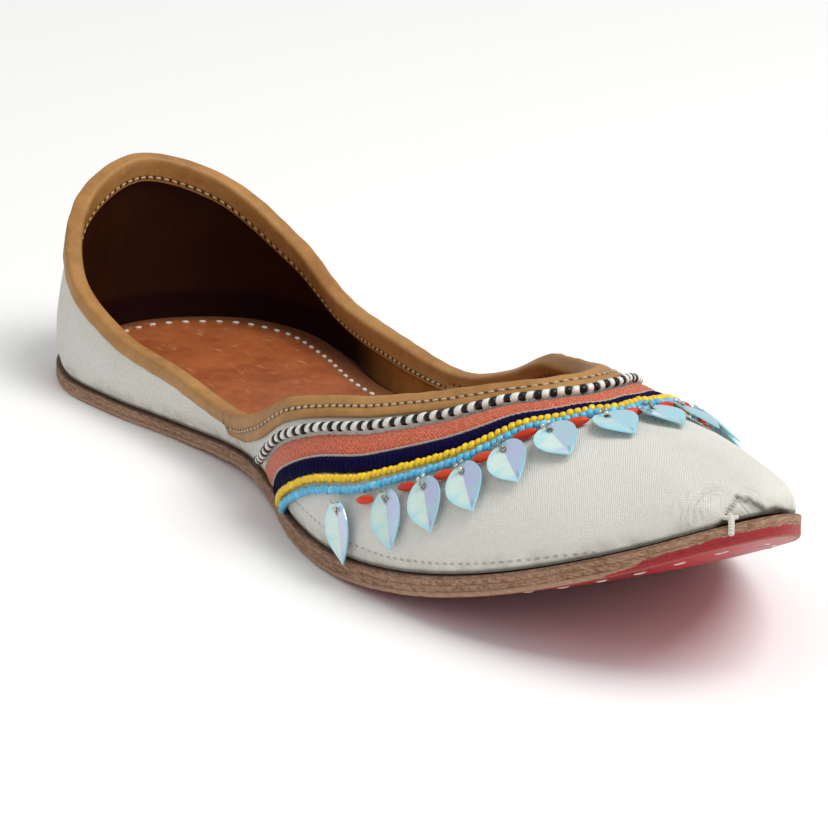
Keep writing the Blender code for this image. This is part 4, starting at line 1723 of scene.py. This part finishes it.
@dataclass
class LeafSequins:
    """The hanging leaf sequins, the silver beads that hold them and the orange beads between."""

    last: Last
    trim: VampTrim
    spacing: float = 0.0092
    steps: tuple[float, ...] = (0.55, 1.72, 2.7, 3.66, 4.62, 5.62, 7.15)
    length: float = 0.0124
    width: float = 0.0084
    thick: float = 0.0003
    stand: float = 0.0007
    fold: float = 0.0007
    drop: float = 0.0014
    oval_length: float = 0.0052
    oval_width: float = 0.0018
    shoulder: float = 0.78
    hole_at: float = 0.0017
    hole: float = 0.00050
    blue_from: tuple[float, float] = (-2.4, -0.4)
    lift: float = 0.00035
    silver_size: tuple[float, float, float] = (0.0011, 0.0011, 0.0009)
    silver_lift: float = 0.0009
    silver_spots: tuple[tuple[float, float, float], ...] = (
        (0.0, -0.0016, 1.0),
        (-0.0006, -0.0001, 0.85),
        (0.0007, 0.0000, 0.8),
    )
    key_step: float = 0.1

    def lines(self) -> tuple[float, float]:
        """Where the sequins and the ovals hang, measured from the topline."""
        trim = self.trim
        start = trim.cord_start + trim.cord_width + trim.coral_width + trim.navy_width + 2 * trim.bead_width
        start += 5 * trim.gap
        return start + self.drop - self.oval_width / 2, start + self.oval_width / 2

    def keys_along(self, distance: float, steps: Sequence[float]) -> list[float]:
        """Rib keys of places set out by true length, both ways from the middle of the vamp.

        Args:
            distance: where the row lies, from the topline.
            steps: the places, in spacings.

        Returns:
            The keys in order.
        """
        fine = np.linspace(0, LAST_RIB * 0.66, 160)
        line = self.last.on_rib(fine, self.last.drawn(fine, distance))
        way = walked(line)
        found = [float(np.interp(step * self.spacing, way, fine)) for step in steps]
        return sorted({round(side * key, 6) for key in found for side in (-1, 1)})

    def leaf_model(self) -> Piece:
        """One flat leaf with its crease and its hole, lying on XY with its tip down -Y."""
        piece, turn, out = make_sheet("leaf_model", 48, 9)
        angle = turn * 2 * np.pi
        share = (1 - np.cos(angle)) / 2
        side = np.where(turn > 0.5, -1.0, 1.0)
        bow = np.clip(np.sin(np.pi * share**self.shoulder), 0.0, 1.0)
        half = self.width / 2 * bow ** (0.55 + 0.5 * share)
        rim = np.column_stack((side * half, -share * self.length))
        centre = np.array((0.0, -self.hole_at))
        ring = centre + self.hole * np.column_stack((np.sin(angle), np.cos(angle)))
        flat = ring + (rim - ring) * out[:, None]
        height = self.fold * (np.abs(flat[:, 0]) / (self.width / 2)) ** 1.1
        move_points(piece, np.column_stack((flat, height)))
        keep_flat(piece, flat)
        # Mask of the painted highlight along the rim.
        keep_tone(piece, "rim", smooth(out, 0.80, 0.97) * 0.8)
        # Mask of the painted shade round the top hole and in a dot for the hole near the tip.
        tip = np.hypot(flat[:, 0] - 0.0003, flat[:, 1] + self.length - 0.0019)
        keep_tone(piece, "hole", np.maximum(smooth(out, 0.06, 0.0), smooth(tip, 0.00045, 0.0002)))
        edit_all(piece, lambda: bpy.ops.mesh.remove_doubles(threshold=TOUCH))
        if piece.data.polygons[0].normal.z < 0:
            edit_all(piece, lambda: bpy.ops.mesh.flip_normals())
        thicken(piece, self.thick, 1.0)
        smooth_off(piece, 14)
        return piece

    def hang(self, key: float, distance: float) -> Matrix:
        """The place of one leaf: its hole under the beads, its tip down the vamp.

        Args:
            key: its rib key.
            distance: how far its top lies from the topline.

        Returns:
            The leaf's place.
        """
        keys = np.array([key])
        reach = self.last.drawn(keys, distance)
        top = self.last.surface(keys, reach, self.stand)[0]
        tip = self.last.surface(keys, reach + self.length, self.stand)[0]
        out = self.last.normals(keys, reach + self.length / 2)[0]
        middle = self.last.surface(keys, reach + self.length / 2, self.stand)[0]
        bow = max(0.0, float((middle - (top + tip) / 2) @ out))
        upward = unit(top - tip)
        along = unit(np.cross(upward, out))
        out = np.cross(along, upward)
        return stand_at(top + out * (bow + self.lift), along, upward, out)

    def build(self) -> None:
        """Makes the sequins, the ovals and the silver beads."""
        film = Film().make()
        sequin_line, oval_line = self.lines()
        keys = self.keys_along(sequin_line, self.steps)
        model = self.leaf_model()
        for number, key in enumerate(keys):
            blue = float(smooth(key, *self.blue_from)) * 0.9 + 0.05
            leaf = copy_of(model, f"leaf_sequin_{number + 1:02d}", self.hang(key, sequin_line), blue)
            finish_piece(leaf, "sequins", [f"sequin_{number + 1:02d}"], film)
        bpy.data.objects.remove(model, do_unlink=True)
        self.silver(keys, sequin_line)
        self.ovals(oval_line)

    def silver(self, keys: Sequence[float], distance: float) -> None:
        """A silver-lined bead over each leaf's hole, with its two smaller neighbours above."""
        places, tones = [], []
        for number, key in enumerate(keys):
            place = self.hang(key, distance)
            for across, up, size in self.silver_spots:
                spot = Matrix.Translation((across, up, self.silver_lift))
                places.append(place @ spot @ Matrix.Scale(size, 4))
                tones.append(varied(number * 2.1 + up * 900))
        piece = copy_along("silver_beads", round_model(8, 6, self.silver_size), places, tones)
        glass = GlassBead(
            "silver bead glass", paint(206, 206, 196), paint(120, 118, 108),
            roughness=0.12, coat=1.0, metallic=0.5,
        )
        finish_piece(piece, "blue_beads", [], glass.make())

    def ovals(self, distance: float) -> None:
        """The long orange beads between the leaves."""
        between = [0.0] + [(first + second) / 2 for first, second in zip(self.steps, self.steps[1:])]
        orange = GlassBead(
            "orange bead paste", paint(220, 66, 14), paint(196, 44, 6),
            roughness=0.42, coat=0.08, gloss=0.3, grain=0.0009, depth=0.00008,
        ).make()
        for number, key in enumerate(self.keys_along(distance, between)):
            keys = np.array([key])
            reach = self.last.drawn(keys, distance)
            ahead, behind = (
                self.last.on_rib(beside, self.last.drawn(beside, distance))[0]
                for beside in (keys + self.key_step, keys - self.key_step)
            )
            out = self.last.normals(keys, reach)[0]
            point = self.last.surface(keys, reach, self.last.gap + self.oval_width / 2)[0]
            upward = unit(np.cross(out, unit(ahead - behind)))
            along = np.cross(upward, out)
            lean = 0.10 + 0.06 * math.sin(number * 2.7)
            along, upward = unit(along - upward * lean), unit(upward + along * lean)
            model = round_model(14, 12, (self.oval_length, self.oval_width, self.oval_width))
            points = coordinates(model)
            points[:, 1:] *= 1 - 0.25 * np.abs(points[:, :1] / (self.oval_length / 2)) ** 3
            move_points(model, points)
            place = stand_at(point, along, upward, out)
            bead = copy_along(f"oval_paste_bead_{number + 1:02d}", model, [place], [varied(number * 1.9)])
            finish_piece(bead, "orange_beads", [f"oval_bead_{number + 1:02d}"], orange)


@dataclass
class Sole:
    """The stacked leather sole, its red underside and edge stitching, and the sock inside."""

    last: Last
    columns: int = 460
    sock_thick: float = 0.0016
    sock_margin: float = 0.0012
    sock_row: float = 0.0047
    sock_pitch: float = 0.0038
    varnish: float = 0.0027
    varnish_ends: tuple[float, float] = (-0.098, -0.124)
    welt_row: float = 0.0050
    welt_pitch: float = 0.0085
    sock_stop: float = 3.2
    welt_stop: float = 0.2
    sock_stitch: tuple[float, float, float] = (0.0017, 0.0011, 0.0007)
    welt_stitch: tuple[float, float, float] = (0.0030, 0.0009, 0.0006)
    stitch_lift: float = 0.0001
    roughness: float = 0.00014
    sock_roughness: float = 0.00004
    lip: float = 0.0006
    sock_lip: float = 0.0003
    seam: float = 0.00002

    @staticmethod
    def level(height: float) -> Callable[[Array], Array]:
        """A height that is the same all along the shoe."""
        return lambda y: y * 0 + height

    def layer(
        self, name: str, inset: float, low: Callable[[Array], Array], high: Callable[[Array], Array],
        roughness: float, lips: tuple[float, float],
    ) -> Piece:
        """One layer of the sole's outline.

        Args:
            name: the piece's name.
            inset: how far inside the outline its edge lies.
            low: height of its underside over the ground line.
            high: height of its top.
            roughness: how uneven its edge is.
            lips: radius of its rounded corners, below and above.

        Returns:
            The layer, closed.
        """
        rings = (0.0, 0.25, 0.5, 0.72, 0.86, 0.94)
        under, over = lips
        profile = [(share, 1.0, 0.0) for share in rings]
        profile += [(1.0, 1.0, -3 * over), (1.0, 1.0, -over), (1.0, 0.93, -over * 0.3), (1.0, 0.8, 0.0)]
        profile += [(1.0, 0.6, 0.0), (1.0, 0.4, 0.0), (1.0, 0.2, 0.0)]
        profile += [(1.0, 0.07, -under * 0.3), (1.0, 0.0, -under), (1.0, 0.0, -3 * under)]
        profile += [(share, 0.0, 0.0) for share in reversed(rings)]
        profile = np.array(profile)
        piece, across, down = make_sheet(name, self.columns, len(profile) - 1)
        keys = (across * 2 - 1) * LAST_RIB
        row = np.rint(down * (len(profile) - 1)).astype(int)
        share, level, push = profile[row].T
        place = across * 2 * np.pi
        whole, _ = self.last.edge(keys)
        depth = low(whole[:, 1]) + (high(whole[:, 1]) - low(whole[:, 1])) * level
        uneven = np.sin(place * 61 + depth * 1100) * 0.5 + np.sin(place * 137 + depth * 3500 + 1) * 0.3
        uneven += np.sin(place * 23 + 2) * 0.4 + np.sin(place * 211 + depth * 6100) * 0.2
        push = push + uneven * roughness * (share == 1.0)
        edge, _ = self.last.edge(keys, np.maximum(inset - push, 0.0))
        rim, _ = self.last.edge(keys, inset + 3 * max(lips))
        x = np.where(share < 1.0, rim[:, 0] * share, edge[:, 0])
        y = np.where(share < 1.0, rim[:, 1], edge[:, 1])
        height = low(y) + (high(y) - low(y)) * level
        move_points(piece, np.column_stack((x, y, self.last.ground(x, y) + height)))
        keep_tone(piece, "layer", depth)
        keep_tone(piece, "inset", np.hypot(whole[:, 0] - x, whole[:, 1] - y))
        close_seams(piece, 2 * TOUCH)
        smooth_off(piece, 50)
        return piece

    def paint_edge(self, piece: Piece) -> None:
        """Paints shade on the brim under the cloth, and lets the red varnish climb the edge round the toe.
        """
        points = coordinates(piece)
        depth = np.empty(len(points), dtype=np.float32)
        piece.data.attributes["layer"].data.foreach_get("value", depth)
        climb = self.varnish * smooth(points[:, 1], *self.varnish_ends) - 0.0006
        keep_tone(piece, "red", np.clip(0.5 + (climb - depth) / 0.0020, 0.0, 1.0))
        top = self.last.midsole_high(points[:, 1])
        # Mask of the painted shade along the top of the edge, under the cloth.
        keep_tone(piece, "brim", smooth(depth - top, -0.00035, 0.0))

    def stitch_row(
        self, name: str, inset: float, pitch: float, size: tuple[float, float, float],
        lift: Callable[[Array], Array], stop: float, facing: float,
    ) -> Piece:
        """Stitches along the outline.

        Args:
            name: the piece's name.
            inset: how far inside the outline the row runs.
            pitch: the stitches' spacing.
            size: length, width and height of one stitch.
            lift: height over the ground line.
            stop: rib key at which the row begins and ends, from the toe.
            facing: 1 where the row faces up, -1 where it faces down.

        Returns:
            The stitches as one piece.
        """
        line, _ = self.last.edge(round_the_heel(np.linspace(stop, 2 * LAST_RIB - stop, FINE)), inset)
        height = self.last.ground(line[:, 0], line[:, 1]) + lift(line[:, 1])
        line = np.column_stack((line, height))
        way = walked(line)
        count = int(way[-1] / pitch)
        places, tones = [], []
        for number in range(count):
            middle = (number + 0.5) * way[-1] / count
            spot, ahead, behind = (
                np.array([np.interp(middle + step, way, line[:, axis]) for axis in range(3)])
                for step in (0.0, 0.0008, -0.0008)
            )
            along = unit(ahead - behind)
            up = UP * facing
            side = unit(np.cross(up, along))
            lean = 0.12 * math.sin(number * 2.6)
            along = unit(along + side * lean)
            side = unit(np.cross(up, along))
            places.append(stand_at(spot, along, side, np.cross(along, side)))
            tones.append(varied(number * 1.3))
        return copy_along(name, round_model(8, 6, size), places, tones)

    def build(self) -> None:
        """Makes the layers from the ground up, then the stitching."""
        last = self.last
        edge = SoleEdge().make()
        red = RedSole().make()
        under = self.layer(
            "red_outsole", 0.0, self.level(0.0), self.level(last.midsole_low() - self.seam),
            self.roughness, (self.lip, 0.0),
        )
        self.paint_edge(under)
        dress(under, edge, red)
        self.paint_underside(under)
        finish_piece(under, "sole_leather", ["outsole"])
        stack = self.layer(
            "stacked_midsole", 0.0, self.level(last.midsole_low()), last.midsole_high,
            self.roughness, (0.0, self.lip),
        )
        self.paint_edge(stack)
        finish_piece(stack, "midsole_leather", ["midsole"], edge)
        sock_inset = last.sole_lip + last.wall + self.sock_margin
        sock = self.layer(
            "sock", sock_inset, lambda y: last.midsole_high(y) + last.gap,
            lambda y: last.midsole_high(y) + last.gap + self.sock_thick,
            self.sock_roughness, (self.sock_lip, self.sock_lip),
        )
        self.stain_sock(sock, sock_inset)
        leather = Leather(
            "sock leather", paint(176, 98, 54), paint(140, 72, 38), paint(200, 134, 96),
            roughness=0.42, wear=0.7, shade_and_stain=paint(100, 66, 46),
        )
        finish_piece(sock, "insole_leather", ["insole"], leather.make())
        white = SewingThread("white thread", paint(232, 226, 212), 0.0009).make()
        row = self.stitch_row(
            "sock_stitches", sock_inset + self.sock_row, self.sock_pitch, self.sock_stitch,
            lambda y: last.midsole_high(y) + last.gap + self.sock_thick + self.stitch_lift,
            self.sock_stop, 1.0,
        )
        finish_piece(row, "insole_leather", [], white)
        row = self.stitch_row(
            "welt_stitches", self.welt_row, self.welt_pitch, self.welt_stitch,
            self.level(self.stitch_lift), self.welt_stop, -1.0,
        )
        finish_piece(row, "sole_leather", [], white)

    @staticmethod
    def paint_underside(piece: Piece) -> None:
        """Gives the faces that look down the red finish."""
        for polygon in piece.data.polygons:
            polygon.material_index = 1 if polygon.normal.z < -0.6 else 0

    def stain_sock(self, piece: Piece, inset: float) -> None:
        """Darkens the sock outside its row of stitches."""
        depth = np.empty(len(piece.data.vertices), dtype=np.float32)
        piece.data.attributes["inset"].data.foreach_get("value", depth)
        edge = smooth(depth, inset + self.sock_row + 0.0004, inset + self.sock_row - 0.0012) * 0.75
        keep_tone(piece, "shade_and_stain", np.clip(edge, 0, 1))


@dataclass
class Studio:
    """The pale floor, the soft light and the camera at the photograph's angle."""

    azimuth: float = -29.5
    elevation: float = 17.6
    distance: float = 0.954
    lens: float = 204.0
    aim: tuple[float, float, float] = (0.0, 0.0, 0.017)
    sensor: float = 36.0
    floor_side: float = 6.0
    sky: float = 0.55
    white: Colour = (1.0, 1.0, 1.0)
    warm_white: Colour = (1.0, 0.99, 0.97)

    def lamp(
        self, name: str, azimuth: float, elevation: float, distance: float, size: float, power: float,
        colour: Colour,
    ) -> None:
        """A soft square lamp that looks at the shoe.

        Args:
            name: the lamp's name.
            azimuth: its direction from the shoe in degrees, 0 before the toe.
            elevation: its height over the floor in degrees.
            distance: how far away it stands.
            size: its side.
            power: its power in watts.
            colour: its colour.
        """
        light = bpy.data.lights.new(name, "AREA")
        light.energy = power
        light.size = size
        light.color = colour
        lamp = bpy.data.objects.new(name, light)
        bpy.context.scene.collection.objects.link(lamp)
        self.seat_at(lamp, azimuth, elevation, distance)

    def seat_at(self, thing: Piece, azimuth: float, elevation: float, distance: float) -> None:
        """Puts a lamp or the camera at a direction and distance, and turns it to the shoe.

        Args:
            thing: the lamp or camera.
            azimuth: its direction in degrees.
            elevation: its height in degrees.
            distance: how far away.
        """
        thing.location = self.seat(azimuth, elevation, distance)
        heading = Vector(self.aim) - thing.location
        thing.rotation_euler = heading.to_track_quat("-Z", "Y").to_euler()

    def seat(self, azimuth: float, elevation: float, distance: float) -> Vector:
        """A place at this direction and distance from the shoe."""
        turn, rise = math.radians(azimuth), math.radians(elevation)
        way = Vector((math.sin(turn) * math.cos(rise), -math.cos(turn) * math.cos(rise), math.sin(rise)))
        return Vector(self.aim) + way * distance

    def build(self) -> None:
        """Sets floor, light and camera."""
        clear_bench()
        bpy.ops.mesh.primitive_plane_add(size=self.floor_side)
        floor = bpy.context.object
        floor.name = "floor"
        nodes = Nodes("pale floor")
        nodes.dress(Base_Color=(0.95, 0.95, 0.95), Roughness=0.7, Specular_IOR_Level=0.2)
        floor.data.materials.append(nodes.material)
        scene = bpy.context.scene
        scene.view_settings.view_transform = "Standard"
        world = bpy.data.worlds.new("studio")
        world.use_nodes = True
        background = world.node_tree.nodes["Background"]
        background.inputs["Color"].default_value = (*self.white, 1.0)
        background.inputs["Strength"].default_value = self.sky
        scene.world = world
        self.lamp("key", 38.0, 58.0, 1.6, 1.0, 20.0, self.warm_white)
        self.lamp("front", -70.0, 30.0, 1.3, 0.8, 0.7, self.white)
        camera = bpy.data.objects.new("camera", bpy.data.cameras.new("camera"))
        scene.collection.objects.link(camera)
        camera.data.lens = self.lens
        camera.data.sensor_width = self.sensor
        camera.data.clip_start = 0.01
        self.seat_at(camera, self.azimuth, self.elevation, self.distance)
        scene.camera = camera


def main() -> None:
    """Builds the shoe piece by piece."""
    logging.basicConfig(level=logging.INFO, format="%(name)s: %(message)s")
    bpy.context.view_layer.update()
    last = Last()
    Studio().build()
    Sole(last).build()
    Upper(last).build()
    Binding(last).build()
    trim = VampTrim(last)
    trim.build()
    LeafSequins(last, trim).build()
    clear_bench()


if __name__ == "__main__":
    main()
